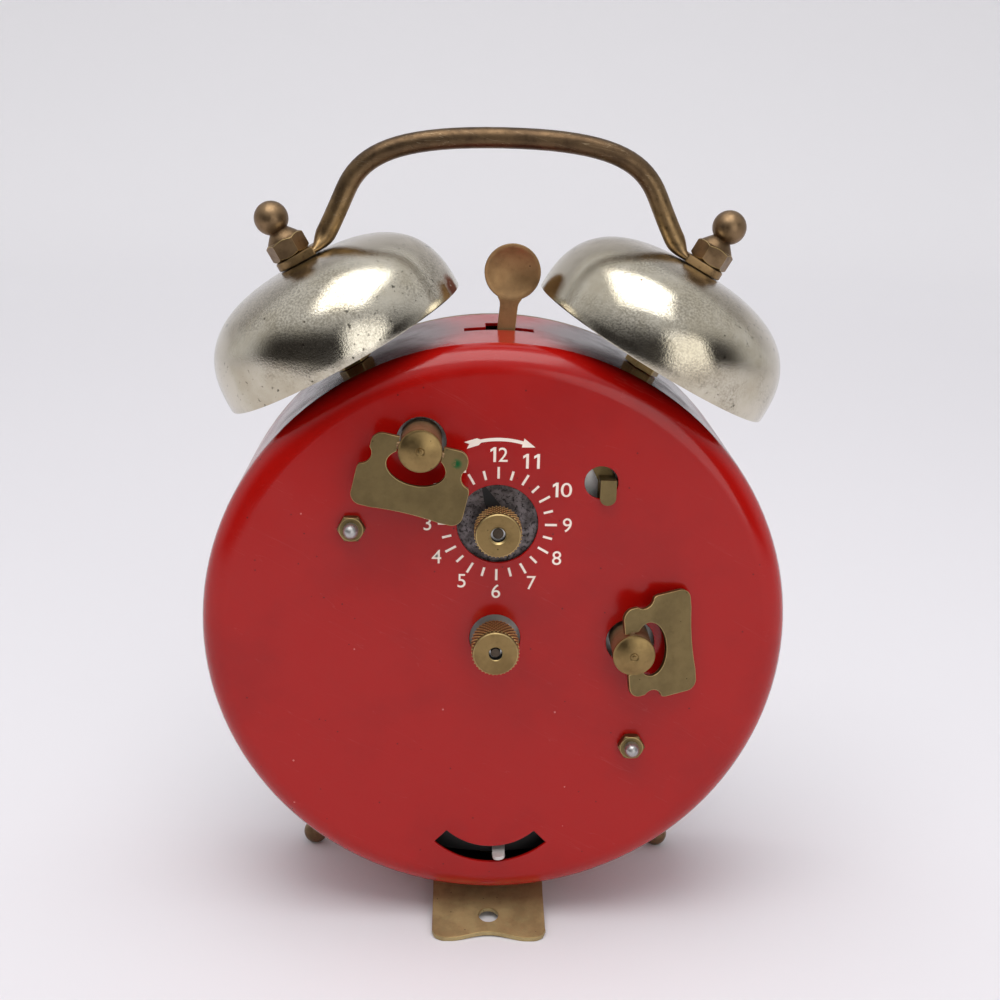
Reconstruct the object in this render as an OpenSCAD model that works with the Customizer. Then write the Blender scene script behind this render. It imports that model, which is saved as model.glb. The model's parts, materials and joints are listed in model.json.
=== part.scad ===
// Twin bell alarm clock, wind-up, with its movement.
// The dial faces -Y and the back faces +Y. The origin is on the table, under the middle of the clock.

/* [Case] */
// Outer radius of the drum
case_r = 54; // [53:0.5:58]
// Depth of the drum, from the back to the front edge
case_depth = 34; // [33.5:0.5:38]
// Thickness of the drum's sheet
case_t = 0.7; // [0.5:0.1:1]
// Radius of the rounded shoulder round the back
shoulder_r = 5; // [3:0.5:7]
// Height of the drum above the table
case_lift = 6; // [5:0.5:12]

/* [Bells] */
// Rim radius of a bell
bell_r = 23.9; // [20:0.1:25]
// Height of a bell from rim to crown
bell_h = 17.4; // [14:0.1:20]
// Thickness of a bell's wall
bell_t = 1; // [0.7:0.1:1.4]
// Fullness of the bell's curve, 2 for an ellipse
bell_fullness = 2.7; // [2:0.1:4]
// Gap between the rims of the two bells
bell_gap = 15; // [14:0.1:18]
// Height of the bell's rim above the drum
bell_lift = 3.5; // [2.5:0.1:6]
// Depth of the bells and the hammer, forward of the back
bell_depth = 18.5; // [17.5:0.5:20]

/* [Posts and acorn nuts] */
// Width across the flats of a bell post
post_af = 6.2; // [5:0.1:7]
// Diameter of the threaded stud on top of a post
stud_d = 3; // [2.5:0.1:3.5]
// Diameter of the threaded end inside the drum
tenon_d = 4; // [3:0.1:4.5]
// Width across the flats of an acorn nut
acorn_af = 6.5; // [5.5:0.1:8]
// Height of the acorn nut's hexagon
acorn_hex_h = 3.4; // [2:0.1:4]
// Diameter of the acorn nut's ball
acorn_ball_d = 6.2; // [5:0.1:8]
// Height of the ball's centre above the nut's seat
acorn_ball_h = 7.5; // [6.5:0.1:9]
// Diameter of the neck under the ball
acorn_neck_d = 3.6; // [3.4:0.1:4.5]

/* [Handle] */
// Height of the handle's rod above the drum
handle_rise = 34.1; // [30:0.1:40]
// Diameter of the handle's rod
handle_d = 3.7; // [3:0.1:4.5]
// Thickness of the flattened ends
handle_tip_t = 1.6; // [1.2:0.1:2]
// Width of the flattened ends
handle_tip_w = 7; // [6:0.1:8]
// Half the width of the handle at its shoulders
handle_shoulder_x = 28; // [26:0.5:30]
// Drop of the shoulders below the top
handle_shoulder_drop = 9.6; // [8:0.1:11]

/* [Hammer] */
// Diameter of the dished hammer head
hammer_head_d = 10.3; // [8:0.1:11]
// Depth of the dish
hammer_dish = 1.3; // [0.8:0.1:1.6]
// Height of the hammer head's centre above the drum
hammer_rise = 10.4; // [9.5:0.1:11.5]
// Lean of the hammer at rest
hammer_lean = 5.1; // [4:0.1:6]
// Width of the hammer's strip
hammer_strip_w = 3.3; // [2.5:0.1:4]
// Thickness of the hammer's strip
hammer_strip_t = 1; // [0.7:0.1:1.2]
// Width of the slot that the hammer comes out of
hammer_slot_w = 12.8; // [11.5:0.1:15]
// Gap of that slot along the depth
hammer_slot_gap = 3; // [2.2:0.1:4]
// Width of the slot's forward notch
hammer_notch_w = 4.8; // [3:0.1:6]
// Length of the slot's forward notch
hammer_notch_l = 4.2; // [2:0.1:5]

/* [Feet] */
// Diameter of a front foot
foot_d = 5; // [4:0.1:6]
// Half the distance between the front feet on the table
foot_spread = 36.5; // [30:0.5:42]
// Distance of the front feet behind the drum's front edge
foot_inset = 3.6; // [3:0.1:8]
// Width of the rear foot plate
rear_foot_w = 21.8; // [18:0.1:28]
// Thickness of the rear foot plate
rear_foot_t = 0.9; // [0.7:0.1:1.4]
// Reach of the rear foot behind the back
rear_foot_reach = 5.3; // [3:0.1:9]
// Rise of the rear foot's tail, from its edge to its bend
rear_foot_rise = 2.2; // [1.5:0.1:3]
// Diameter of the hole in the rear foot
rear_hole_d = 3.8; // [2.5:0.1:4.5]

/* [Keys] */
// Time key, sideways from the axis
time_key_x = -24.9; // [-26:0.1:-24]
// Time key, above the axis
time_key_z = -0.4; // [-1.5:0.1:1]
// Alarm key, sideways from the axis
alarm_key_x = 13.7; // [13:0.1:14.5]
// Alarm key, above the axis
alarm_key_z = 37; // [36.5:0.1:37.5]
// Diameter of a key's stem
key_stem_d = 7.3; // [6.5:0.1:8]
// Diameter of a key's head
key_head_d = 7.7; // [7.4:0.1:8.4]
// Reach of a key behind the back
key_reach = 7.4; // [7:0.1:10]
// Clearance of a key's stem in the back
key_hole_gap = 0.8; // [0.4:0.1:1.2]
// Width of a key's wing over its lobes
wing_w = 20; // [19:0.1:22]
// Reach of a wing from its hinge
wing_reach = 12.1; // [11:0.1:13]
// Thickness of a wing
wing_t = 0.9; // [0.7:0.1:1.2]
// Direction of the time key's wing
time_wing_angle = 173; // [0:1:359]
// Direction of the alarm key's wing
alarm_wing_angle = 283; // [0:1:359]
// Lean of the time key's wing towards the back
time_wing_lean = 20; // [0:1:21]
// Lean of the alarm key's wing towards the back
alarm_wing_lean = 0; // [0:1:21]

/* [Knobs and regulator] */
// Diameter of the time-setting knob
time_knob_d = 8.7; // [7:0.1:10]
// Reach of the time-setting knob behind the back
time_knob_reach = 7.3; // [4:0.1:8]
// Diameter of the alarm-setting knob
alarm_knob_d = 8.5; // [6:0.1:9]
// Reach of the alarm-setting knob behind the back
alarm_knob_reach = 6.6; // [2.5:0.1:8]
// Height of the alarm-setting knob above the axis
alarm_set_z = 22; // [21.5:0.1:22.5]
// Diameter of the alarm window round that knob
alarm_window_d = 14.6; // [11:0.1:16]
// Case nuts, sideways from the axis
case_nut_x = 26; // [24:0.1:27]
// Case nuts, above and below the axis
case_nut_z = 21.1; // [20:0.1:23]
// Width across the flats of a case nut
case_nut_af = 4.4; // [4:0.1:5.5]
// Drop of the balance below the axis
balance_drop = 31.1; // [30.8:0.1:31.6]
// Mean radius of the regulator slot about the balance
regulator_r = 12.85; // [12:0.05:13.5]
// Width of the regulator slot
regulator_slot_w = 2.9; // [2:0.1:3.5]
// Half the sweep of the regulator slot
regulator_sweep = 44; // [30:1:50]
// Turn of the regulator from straight down
regulator_turn = 7.5; // [-20:0.5:20]
// Width of the regulator's tongue
regulator_tongue_w = 2.4; // [1.6:0.1:3]
// Alarm stop hole, sideways from the axis
stop_hole_x = -18.3; // [-18.8:0.1:-17.8]
// Alarm stop hole, above the axis
stop_hole_z = 30; // [29.5:0.1:30.5]
// Diameter of the alarm stop hole
stop_hole_d = 6; // [5:0.1:7]

/* [Movement] */
// Thickness of the movement plates
plate_t = 1; // [0.8:0.1:1.4]
// Room between the drum's back and the back plate
plate_gap = 2.5; // [2.3:0.1:3]
// Radius of the movement plates
plate_r = 46; // [45:0.5:48]
// Half the width of the movement plates
plate_half_w = 38; // [37:0.5:42]
// Thickness of the train wheels
wheel_t = 0.8; // [0.6:0.1:1]
// Thickness of the two great wheels
great_t = 1.2; // [1:0.1:1.4]
// Teeth of the great wheel
great_teeth = 60; // [54:2:66]
// Leaves of the centre pinion
centre_leaves = 10; // [10:1:12]
// Teeth of the centre wheel
centre_teeth = 54; // [48:2:60]
// Leaves of the third pinion
third_leaves = 9; // [8:1:10]
// Teeth of the third wheel
third_teeth = 48; // [44:2:54]
// Leaves of the escape pinion
escape_leaves = 8; // [8:1:10]
// Module of the third and escape gearing
train_module = 0.42; // [0.4:0.01:0.44]
// Teeth of the escape wheel
escape_teeth = 15; // [13:1:18]
// Teeth of the alarm great wheel
alarm_great_teeth = 48; // [44:2:52]
// Leaves of the alarm star's pinion
star_leaves = 8; // [8:1:10]
// Points of the alarm star wheel
star_points = 10; // [8:1:14]
// Radius of the balance wheel
balance_r = 9.5; // [8:0.1:10]
// Turns of the going mainspring
going_turns = 8; // [5:1:10]
// Turns of the alarm mainspring
alarm_turns = 5; // [3:1:6]
// Turns of the hairspring
hair_turns = 5; // [3:1:6]

/* [Dial and glass] */
// Thickness of the dial
dial_t = 0.6; // [0.4:0.1:1]
// Length of the minute hand
minute_hand_l = 39; // [30:1:44]
// Length of the hour hand
hour_hand_l = 27; // [18:1:32]
// Thickness of the glass
lens_t = 1.2; // [0.8:0.1:1.6]
// Rise of the glass at its middle
lens_rise = 3.6; // [2:0.1:5]
// Width of the bezel's front ring
bezel_w = 5.5; // [4.5:0.1:8]
// Height of the bezel in front of the drum
bezel_h = 2; // [1.5:0.1:3]

/* [Fits] */
// Clearance of a turning or sliding fit, on the radius
run_gap = 0.05; // [0.03:0.01:0.08]
// Clearance of a pressed or screwed fit, on the radius
seat_gap = 0.02; // [0.01:0.01:0.04]
// End play of an arbor between its plates
end_play = 0.2; // [0.1:0.05:0.3]

/* [Hidden] */
$fn = 72;

// Colours
red = [0.62, 0.13, 0.12];
brass = [0.62, 0.50, 0.26];
bronze = [0.47, 0.37, 0.22];
nickel = [0.72, 0.70, 0.64];
steel = [0.55, 0.56, 0.58];
blued = [0.20, 0.23, 0.32];
cream = [0.93, 0.90, 0.80];
ink = [0.08, 0.08, 0.08];
glass = [0.80, 0.88, 0.92, 0.35];

// The back's outer face stands here, so that the whole clock is centred on the origin
front_reach = max(bell_depth + bell_r, case_depth + bezel_h + lens_rise);
back_y = (front_reach - key_reach) / 2;

// Height of the drum's axis above the table
axis_h = case_r + case_lift;

// Depths, forward from the back's outer face
foot_depth = case_depth - foot_inset;
rear_d = case_t + plate_gap;
rear_in = rear_d + plate_t;
front_in = bell_depth + 2.7;
front_d = front_in + plate_t;
motion_room = 6.4;
dial_d = front_d + motion_room;
dial_front = dial_d + dial_t;

// Places on the back and in the movement are given for a drum of radius 54, and move with the drum
spread = case_r / 54;

// Arbors, as [x, z] from the case axis
centre = [0, 0];
time_key = spread * [time_key_x, time_key_z];
alarm_key = spread * [alarm_key_x, alarm_key_z];
alarm_set = spread * [0, alarm_set_z];
balance = spread * [0, -balance_drop];
escape = spread * [13.5, -19];
pallet = spread * [8, -22];
pillar_spots = spread * [[33.5, 24], [26, -30], [-22, -36], [-30, 30]];
going_post = pillar_spots[3];
alarm_post = pillar_spots[0];
stud_spots = spread * [[case_nut_x, case_nut_z], [-case_nut_x, -case_nut_z]];
dial_foot_spots = spread * [[-32, -14], [31, -8], [-8, 41]];
stop_hole = spread * [stop_hole_x, stop_hole_z];

function polar(c, r, a) = c + r * [cos(a), sin(a)];
function bearing(a, b) = atan2(b.y - a.y, b.x - a.x);
function unit(v) = v / norm(v);
function left_of(v) = [-v.y, v.x];
// Point at distance ra from a and rb from b, to the left of the line from a to b
function meet(a, ra, b, rb) =
    let (d = norm(b - a), along = (ra * ra - rb * rb + d * d) / (2 * d), u = (b - a) / d)
    a + along * u + sqrt(ra * ra - along * along) * left_of(u);
// Angle of a tooth on gear b that meshes with gear a, which has a tooth at angle pa
function mesh(a, b, za, pa, zb) =
    let (f = bearing(a, b), u = (f - pa) * za / 360)
    f + 180 + (u - floor(u) - 0.5) * 360 / zb;

// Gearing
train_m = spread * train_module;
great_module = 2 * norm(time_key) / (great_teeth + centre_leaves);
third = meet(centre, train_m * (centre_teeth + third_leaves) / 2,
    escape, train_m * (third_teeth + escape_leaves) / 2);
alarm_module = 0.45 * spread;
star = polar(alarm_key, alarm_module * (alarm_great_teeth + star_leaves) / 2, 202);
cannon_leaves = 12;
minute_teeth = 36;
minute_leaves = 10;
hour_teeth = 40;
hour_module = alarm_set.y / hour_teeth;
minute_cd = hour_module * (minute_leaves + hour_teeth) / 2;
minute_module = 2 * minute_cd / (cannon_leaves + minute_teeth);
minute_spot = polar(centre, minute_cd, -20);

great_phase = bearing(time_key, centre);
centre_pinion_phase = mesh(time_key, centre, great_teeth, great_phase, centre_leaves);
centre_phase = bearing(centre, third);
third_pinion_phase = mesh(centre, third, centre_teeth, centre_phase, third_leaves);
third_phase = bearing(third, escape);
escape_pinion_phase = mesh(third, escape, third_teeth, third_phase, escape_leaves);
cannon_phase = bearing(centre, minute_spot);
minute_phase = mesh(centre, minute_spot, cannon_leaves, cannon_phase, minute_teeth);
minute_pinion_phase = bearing(minute_spot, centre);
hour_phase = mesh(minute_spot, centre, minute_leaves, minute_pinion_phase, hour_teeth);
alarm_phase = mesh(centre, alarm_set, hour_teeth, hour_phase, hour_teeth);
alarm_great_phase = bearing(alarm_key, star);
star_phase = mesh(alarm_key, star, alarm_great_teeth, alarm_great_phase, star_leaves);

// Levels between the plates, as [rear, front]
function behind(a, t) = [rear_in + a, rear_in + a + t];
hair_lv = behind(0.9, 1);
rim_lv = behind(3.6, 1.8);
escape_pinion_lv = behind(4.2, 2);
third_lv = behind(4.8, wheel_t);
lever_lv = behind(7.8, wheel_t);
escape_lv = [lever_lv[0] - 0.2 - wheel_t, lever_lv[0] - 0.2];
going_spring_lv = behind(0.8, 7);
ratchet_lv = behind(8.6, 1.2);
great_lv = behind(10.2, great_t);
centre_pinion_lv = behind(9.8, 2);
alarm_spring_lv = behind(0.8, 5);
alarm_ratchet_lv = behind(6.6, 1);
alarm_great_lv = behind(8, great_t);
star_pinion_lv = behind(7.6, 2);
star_lv = behind(10.6, 1);
centre_lv = [front_in - 2.6, front_in - 2.6 + wheel_t];
third_pinion_lv = [front_in - 3.2, front_in - 1.2];
hammer_lv = [bell_depth - hammer_strip_t / 2, bell_depth + hammer_strip_t / 2];

// Levels in front of the front plate
cannon_lv = [front_d + 0.6, front_d + 2.2];
minute_lv = [front_d + 1, front_d + 1 + wheel_t];
minute_pinion_lv = [front_d + 1 + wheel_t, front_d + 4.4];
hour_lv = [front_d + 3.2, front_d + 3.2 + wheel_t];
hour_hand_lv = [dial_front + 0.8, dial_front + 1.1];
minute_hand_lv = [dial_front + 2, dial_front + 2.3];

// Levels behind the back plate
lever_t = 0.8;
outer_lever_lv = [rear_d - 0.2 - lever_t, rear_d - 0.2];
disc_lv = [case_t + 0.3, case_t + 0.8];

// Radii
pivot_r = 0.6;
centre_arbor_r = 1.25;
alarm_arbor_r = 1.5;
winding_r = 1.75;
winding_front_r = 1.2;
winding_core_r = 2.5;
great_seat_r = 2;
pillar_r = 2.5;
pillar_tenon_r = 1.4;
pillar_nut_af = 4.8;
pillar_nut_h = 1.5;
case_stud_r = 1.3;
stud_collar_r = 3;
bearing_r = 2.2;
cup_r = 0.45;
hair_post_r = 0.7;
hair_post = polar(balance, 7.6, 150);
stop_arm = [1, 14];
stop_pivot = stop_hole - stop_arm;
stop_screw_r = 1.5;
click_pin_r = 1;

// Bells and handle, as distances from the case axis
rim_z = case_r + bell_lift;
rim_reach = norm([rim_z, bell_r]);
// Lean of each bell that leaves the gap between their rims
bell_angle = atan2(bell_r, rim_z) + asin(bell_gap / 2 / rim_reach);
bell_top = rim_z + bell_h;
post_seat = case_r + seat_gap;
post_corner = post_af / 2 / cos(30);
post_top = bell_top - bell_t - seat_gap;
tip_seat = bell_top + run_gap;
acorn_seat = tip_seat + handle_tip_t + run_gap;
stud_top = acorn_seat + 4.6;
stud_play = 0.2;
radial_dir = [sin(bell_angle), cos(bell_angle)];
tangent_dir = [cos(bell_angle), -sin(bell_angle)];

// Hammer
hammer_z = case_r + hammer_rise;
hammer_pivot = [hammer_z * tan(hammer_lean) * 0.42 - 2.3, 37.8 * spread];
hammer_reach = (hammer_z - hammer_pivot.y) / cos(hammer_lean);
star_r = 3.6 * spread;

// Keys
wing_mid = -5.05;
wing_lv = [wing_mid - wing_t / 2, wing_mid + wing_t / 2];
hinge_pin_r = 0.6;
arbor_end = wing_mid + 1.2;
stem_end = rear_d - 0.5;

// Placing

module set_in_case() translate([0, back_y, axis_h]) children();

// Outline in X and Z, made solid from one depth to another
module flat(lv) translate([0, -lv[0], 0]) rotate([90, 0, 0]) linear_extrude(lv[1] - lv[0]) children();

module flat_at(p, lv) translate([p.x, 0, p.y]) flat(lv) children();

// Profile of [radius, depth], turned about an arbor
module turned(p) translate([p.x, 0, p.y]) rotate([90, 0, 0]) rotate_extrude() children();

module rod(p, r, d0, d1) translate([p.x, -d0, p.y]) rotate([90, 0, 0]) cylinder(r = r, h = d1 - d0);

module hex_rod(p, af, d0, d1)
    translate([p.x, -d0, p.y]) rotate([90, 0, 0]) cylinder(d = af / cos(30), h = d1 - d0, $fn = 6);

// Upright piece moved out along a radius of the drum
module radial(a, d) translate([0, -d, 0]) rotate([0, a, 0]) children();

// Bar of several diameters along an arbor
module arbor(p, depths, radii)
    turned(p) polygon(concat(
        [[0, depths[0]]],
        [for (i = [0 : len(radii) - 1]) each [[radii[i], depths[i]], [radii[i], depths[i + 1]]]],
        [[0, depths[len(radii)]]]));

// Bar across an arbor at one depth, along a direction in X and Z
module cross_bar(p, a, d, r, from, to)
    translate([p.x, -d, p.y]) rotate([0, 90 - a, 0]) translate([0, 0, from])
        cylinder(r = r, h = to - from, $fn = 24);

// Flat outlines

// Strip of even width along a bent line
function mitre(pts, i, h) =
    let (last = len(pts) - 1,
        before = unit(i > 0 ? pts[i] - pts[i - 1] : pts[1] - pts[0]),
        after = unit(i < last ? pts[i + 1] - pts[i] : pts[last] - pts[last - 1]),
        n = unit(left_of(before) + left_of(after)))
    pts[i] + n * h / (n * left_of(before));
function strip(pts, w) = concat(
    [for (i = [0 : len(pts) - 1]) mitre(pts, i, w / 2)],
    [for (i = [len(pts) - 1 : -1 : 0]) mitre(pts, i, -w / 2)]);

// Gear outline, with one tooth at the given angle
addendum = 0.8;
dedendum = 1.2;
tip_share = 0.2;
root_share = 0.46;
module teeth(z, m, phase) {
    pitch = 360 / z;
    tip_r = m * z / 2 + addendum * m;
    root_r = m * z / 2 - dedendum * m;
    polygon([for (i = [0 : z - 1]) let (a = phase + i * pitch) each [
        polar([0, 0], root_r, a - root_share / 2 * pitch),
        polar([0, 0], tip_r, a - tip_share / 2 * pitch),
        polar([0, 0], tip_r, a + tip_share / 2 * pitch),
        polar([0, 0], root_r, a + root_share / 2 * pitch)]]);
}

// Wheel with crossed arms between its rim and its hub
module crossed(rim_in, hub_r, arms, arm_w, bore_r) {
    difference() {
        children();
        difference() {
            circle(rim_in);
            circle(hub_r);
            for (i = [0 : arms - 1])
                rotate(i * 360 / arms) translate([0, -arm_w / 2]) square([rim_in + 1, arm_w]);
        }
        circle(bore_r);
    }
}

module toothed_wheel(z, m, phase, hub_r, arms, bore_r)
    crossed(m * z / 2 - 3.2 * m, hub_r, arms, 1.6, bore_r) teeth(z, m, phase);

// Saw-toothed ratchet
module saw(n, tip_r, root_r)
    polygon([for (i = [0 : n - 1]) each [
        polar([0, 0], tip_r, i * 360 / n),
        polar([0, 0], root_r, (i + 0.12) * 360 / n)]]);

module round_rect(w0, w1, h0, h1, r) {
    translate([w0 + r, h0]) square([w1 - w0 - 2 * r, h1 - h0]);
    translate([w0, h0 + r]) square([w1 - w0, h1 - h0 - 2 * r]);
    for (x = [w0 + r, w1 - r])
        for (y = [h0 + r, h1 - r])
            translate([x, y]) circle(r);
}

// Coiled strip from r0 out to r1, whose tail runs straight to a post
module spring_coil(c, r0, r1, turns, t, post, eye_r) {
    reach = norm(post - c);
    last = bearing(c, post) - acos(r1 / reach);
    first = last - 360 * turns;
    steps = turns * 20;
    function edge(k) = [for (i = [0 : steps])
        polar([0, 0], r0 + (r1 - r0) * i / steps + k * t / 2, first + (last - first) * i / steps)];
    tail_end = post - c;
    out = polar([0, 0], 1, last);
    tail_stop = tail_end - (eye_r + t / 2) * unit(tail_end - r1 * out);
    inner = concat(edge(-1), [tail_stop - t / 2 * out]);
    outer = concat(edge(1), [tail_stop + t / 2 * out]);
    polygon(concat(outer, [for (i = [len(inner) - 1 : -1 : 0]) inner[i]]));
    translate(tail_end) difference() {
        circle(eye_r + t);
        circle(eye_r);
    }
}

// Case and front

// Half section of a cup with a rounded bottom edge
module cup_section(r, d, f) {
    square([r - f, d]);
    translate([0, f]) square([r, d - f]);
    translate([r - f, f]) circle(f);
}

// Curved slot about the balance
module regulator_slot() {
    far = 2 * regulator_r;
    intersection() {
        difference() {
            circle(regulator_r + regulator_slot_w / 2);
            circle(regulator_r - regulator_slot_w / 2);
        }
        polygon([[0, 0], [-far * tan(regulator_sweep), -far], [far * tan(regulator_sweep), -far]]);
    }
}

key_hole_r = key_stem_d / 2 + key_hole_gap;
time_hole_r = time_knob_d / 2 + 0.3;
stud_hole_r = case_stud_r + run_gap;

module case_drum() color(red) set_in_case() difference() {
    turned(centre) difference() {
        cup_section(case_r, case_depth, shoulder_r);
        translate([0, case_t]) cup_section(case_r - case_t, case_depth, shoulder_r - case_t);
    }
    rod(centre, time_hole_r, -1, case_t + 1);
    rod(alarm_set, alarm_window_d / 2, -1, case_t + 1);
    for (p = [time_key, alarm_key])
        rod(p, key_hole_r, -1, case_t + 1);
    for (p = stud_spots)
        rod(p, stud_hole_r, -1, case_t + 1);
    rod(stop_hole, stop_hole_d / 2, -1, case_t + 1);
    flat_at(balance, [-1, case_t + 1]) regulator_slot();
    slot_d0 = bell_depth - hammer_slot_gap / 2;
    translate([-hammer_slot_w / 2, -slot_d0 - hammer_slot_gap, case_r - 4])
        cube([hammer_slot_w, hammer_slot_gap, 8]);
    translate([-hammer_notch_w / 2, -slot_d0 - hammer_slot_gap - hammer_notch_l, case_r - 4])
        cube([hammer_notch_w, hammer_notch_l + 1, 8]);
    for (s = [-1, 1]) {
        radial(s * bell_angle, bell_depth) translate([0, 0, case_r - 4]) cylinder(d = tenon_d + 0.1, h = 8);
        radial(180 - s * foot_angle, foot_depth) translate([0, 0, case_r - 4])
            cylinder(r = foot_tenon_r + run_gap, h = 8);
    }
    radial(180, rear_rivet_d) translate([0, 0, case_r - 4]) cylinder(r = rear_rivet_r + run_gap, h = 8);
}

bezel_spigot = 1.6;
bezel_fit = 0.1;
lens_r = case_r - 2.8;
lens_edge = case_depth + 0.2;
lens_edge_t = 1;
lens_clear_r = case_r - bezel_w;
lens_seat_r = lens_r + 0.3;

module front_bezel() color(brass) set_in_case() turned(centre) difference() {
    union() {
        translate([lens_seat_r, case_depth - bezel_spigot])
            square([case_r - case_t - bezel_fit - lens_seat_r, bezel_spigot + 0.5]);
        translate([lens_clear_r, case_depth + seat_gap]) square([bezel_w, bezel_h - 1]);
        translate([lens_clear_r + 1, case_depth + 0.5]) square([bezel_w - 2, bezel_h - 0.5]);
        for (r = [lens_clear_r + 1, case_r - 1])
            translate([r, case_depth + bezel_h - 1]) circle(1);
    }
    translate([lens_clear_r - 2, case_depth - bezel_spigot])
        square([lens_seat_r - lens_clear_r + 2, lens_edge - case_depth + bezel_spigot]);
}

// Shallow dome with a flat rim that the bezel holds
lens_steps = 12;
lens_dome_r = lens_clear_r - 0.4;
lens_radii = [for (i = [0 : lens_steps]) lens_dome_r * i / lens_steps];
function lens_dome(r, rise) = rise * (1 - pow(r / lens_dome_r, 2));
module lens() color(glass) set_in_case() turned(centre) {
    inner_rise = lens_rise + lens_edge_t - lens_t;
    polygon(concat(
        [for (r = lens_radii) [r, lens_edge + lens_dome(r, lens_rise)]],
        [[lens_r, lens_edge], [lens_r, lens_edge - lens_edge_t]],
        [for (i = [lens_steps : -1 : 0])
            [lens_radii[i], lens_edge - lens_edge_t + lens_dome(lens_radii[i], inner_rise)]]));
}

ring_w = 2;
module lens_spacer_ring() color(cream) set_in_case() turned(centre)
    translate([lens_clear_r + 0.3, dial_front]) square([ring_w, lens_edge - lens_edge_t - dial_front]);

dial_r = case_r - 3.5;
dial_foot_r = 1.2;
hour_pipe_r = 2.75;
module dial_plate() color(cream) set_in_case() {
    difference() {
        flat([dial_d, dial_front]) circle(dial_r);
        rod(centre, hour_pipe_r + 0.5, dial_d - 1, dial_front + 1);
    }
    for (p = dial_foot_spots)
        rod(p, dial_foot_r, front_d, dial_d);
}

// Bells, posts, nuts and handle

// Half section of a bell, full at the shoulder
module bell_curve(r, h) {
    steps = 14;
    polygon(concat([[0, 0]], [for (i = [0 : steps]) let (a = 90 * i / steps)
        [r * pow(cos(a), 2 / bell_fullness), h * pow(sin(a), 2 / bell_fullness)]]));
}

module bell(side) color(nickel) set_in_case() radial(side * bell_angle, bell_depth) difference() {
    translate([0, 0, rim_z]) rotate_extrude() difference() {
        bell_curve(bell_r, bell_h);
        bell_curve(bell_r - bell_t, bell_h - bell_t);
        square([post_corner + 0.3, bell_h - bell_t]);
    }
    translate([0, 0, rim_z]) cylinder(d = stud_d + stud_play, h = bell_h + 1);
}
module left_bell() bell(-1);
module right_bell() bell(1);

tenon_l = 3.4;
module bell_post(side) color(brass) set_in_case() radial(side * bell_angle, bell_depth) {
    translate([0, 0, post_seat]) cylinder(r = post_corner, h = post_top - post_seat, $fn = 6);
    translate([0, 0, post_top - 1]) cylinder(d = stud_d, h = stud_top - post_top + 1);
    translate([0, 0, post_seat - tenon_l]) cylinder(d = tenon_d, h = tenon_l + 1);
}
module left_bell_post() bell_post(-1);
module right_bell_post() bell_post(1);

module acorn_nuts() color(bronze) set_in_case() for (s = [-1, 1]) radial(s * bell_angle, bell_depth)
    translate([0, 0, acorn_seat]) difference() {
        union() {
            cylinder(d = acorn_af / cos(30), h = acorn_hex_h, $fn = 6);
            translate([0, 0, acorn_hex_h]) cylinder(r1 = acorn_af / 2, r2 = acorn_neck_d / 2, h = 1.6);
            cylinder(d = acorn_neck_d, h = acorn_ball_h);
            translate([0, 0, acorn_ball_h]) sphere(d = acorn_ball_d);
        }
        translate([0, 0, -1]) cylinder(r = stud_d / 2 + seat_gap, h = stud_top - acorn_seat + 1.3);
    }

post_nut_h = 1.8;
post_nut_seat = sqrt(pow(case_r - case_t, 2) - pow(post_corner, 2)) - 2 * run_gap;
module post_nuts() color(steel) set_in_case() for (s = [-1, 1]) radial(s * bell_angle, bell_depth)
    translate([0, 0, post_nut_seat - post_nut_h]) difference() {
        cylinder(r = post_corner, h = post_nut_h, $fn = 6);
        translate([0, 0, -1]) cylinder(r = tenon_d / 2 + seat_gap, h = post_nut_h + 2);
    }

// Right half of the handle's centre line, in X and Z: top, shoulder, leg, flattened end
function bezier(p, t) =
    pow(1 - t, 3) * p[0] + 3 * t * pow(1 - t, 2) * p[1] + 3 * t * t * (1 - t) * p[2] + pow(t, 3) * p[3];
function bezier_dir(p, t) =
    unit(pow(1 - t, 2) * (p[1] - p[0]) + 2 * t * (1 - t) * (p[2] - p[1]) + t * t * (p[3] - p[2]));
leg_dir = [cos(66), -sin(66)];
handle_lug = 4.2;
handle_seat = (tip_seat + handle_tip_t / 2) * radial_dir;
handle_top = [0, case_r + handle_rise];
handle_shoulder = [handle_shoulder_x, case_r + handle_rise - handle_shoulder_drop];
handle_ankle = handle_seat - handle_lug * tangent_dir;
arch = [handle_top, handle_top + [19, 0], handle_shoulder - 7 * leg_dir, handle_shoulder];
leg = [handle_shoulder, handle_shoulder + 6 * leg_dir, handle_ankle - 1.5 * tangent_dir, handle_ankle];
function ease(t) = t <= 0 ? 0 : t >= 1 ? 1 : t * t * (3 - 2 * t);
// Each station is [point, direction, width along Y, thickness, squareness]
function station(p, dir, flatness) = [p, dir,
    handle_d + (handle_tip_w - handle_d) * flatness,
    handle_d + (handle_tip_t - handle_d) * flatness,
    2 + 2 * flatness];
function tip_station(s) = let (w = handle_tip_w / 2)
    [handle_seat + s * tangent_dir, tangent_dir, 2 * (s <= 0 ? w : sqrt(w * w - s * s)), handle_tip_t, 4];
handle_half = concat(
    [for (i = [0 : 9]) let (t = i / 10) station(bezier(arch, t), bezier_dir(arch, t), 0)],
    [for (i = [0 : 10]) let (t = i / 10)
        station(bezier(leg, t), bezier_dir(leg, t), ease((t - 0.55) / 0.45))],
    [for (a = [0 : 15 : 75]) tip_station(handle_tip_w / 2 * sin(a))]);
function mirrored(s) = [[-s[0].x, s[0].y], [s[1].x, -s[1].y], s[2], s[3], s[4]];
handle_path = concat(
    [for (i = [len(handle_half) - 1 : -1 : 1]) mirrored(handle_half[i])],
    handle_half);
function bulge(v, n) = sign(v) * pow(abs(v), 2 / n);
handle_sides = 16;
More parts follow.
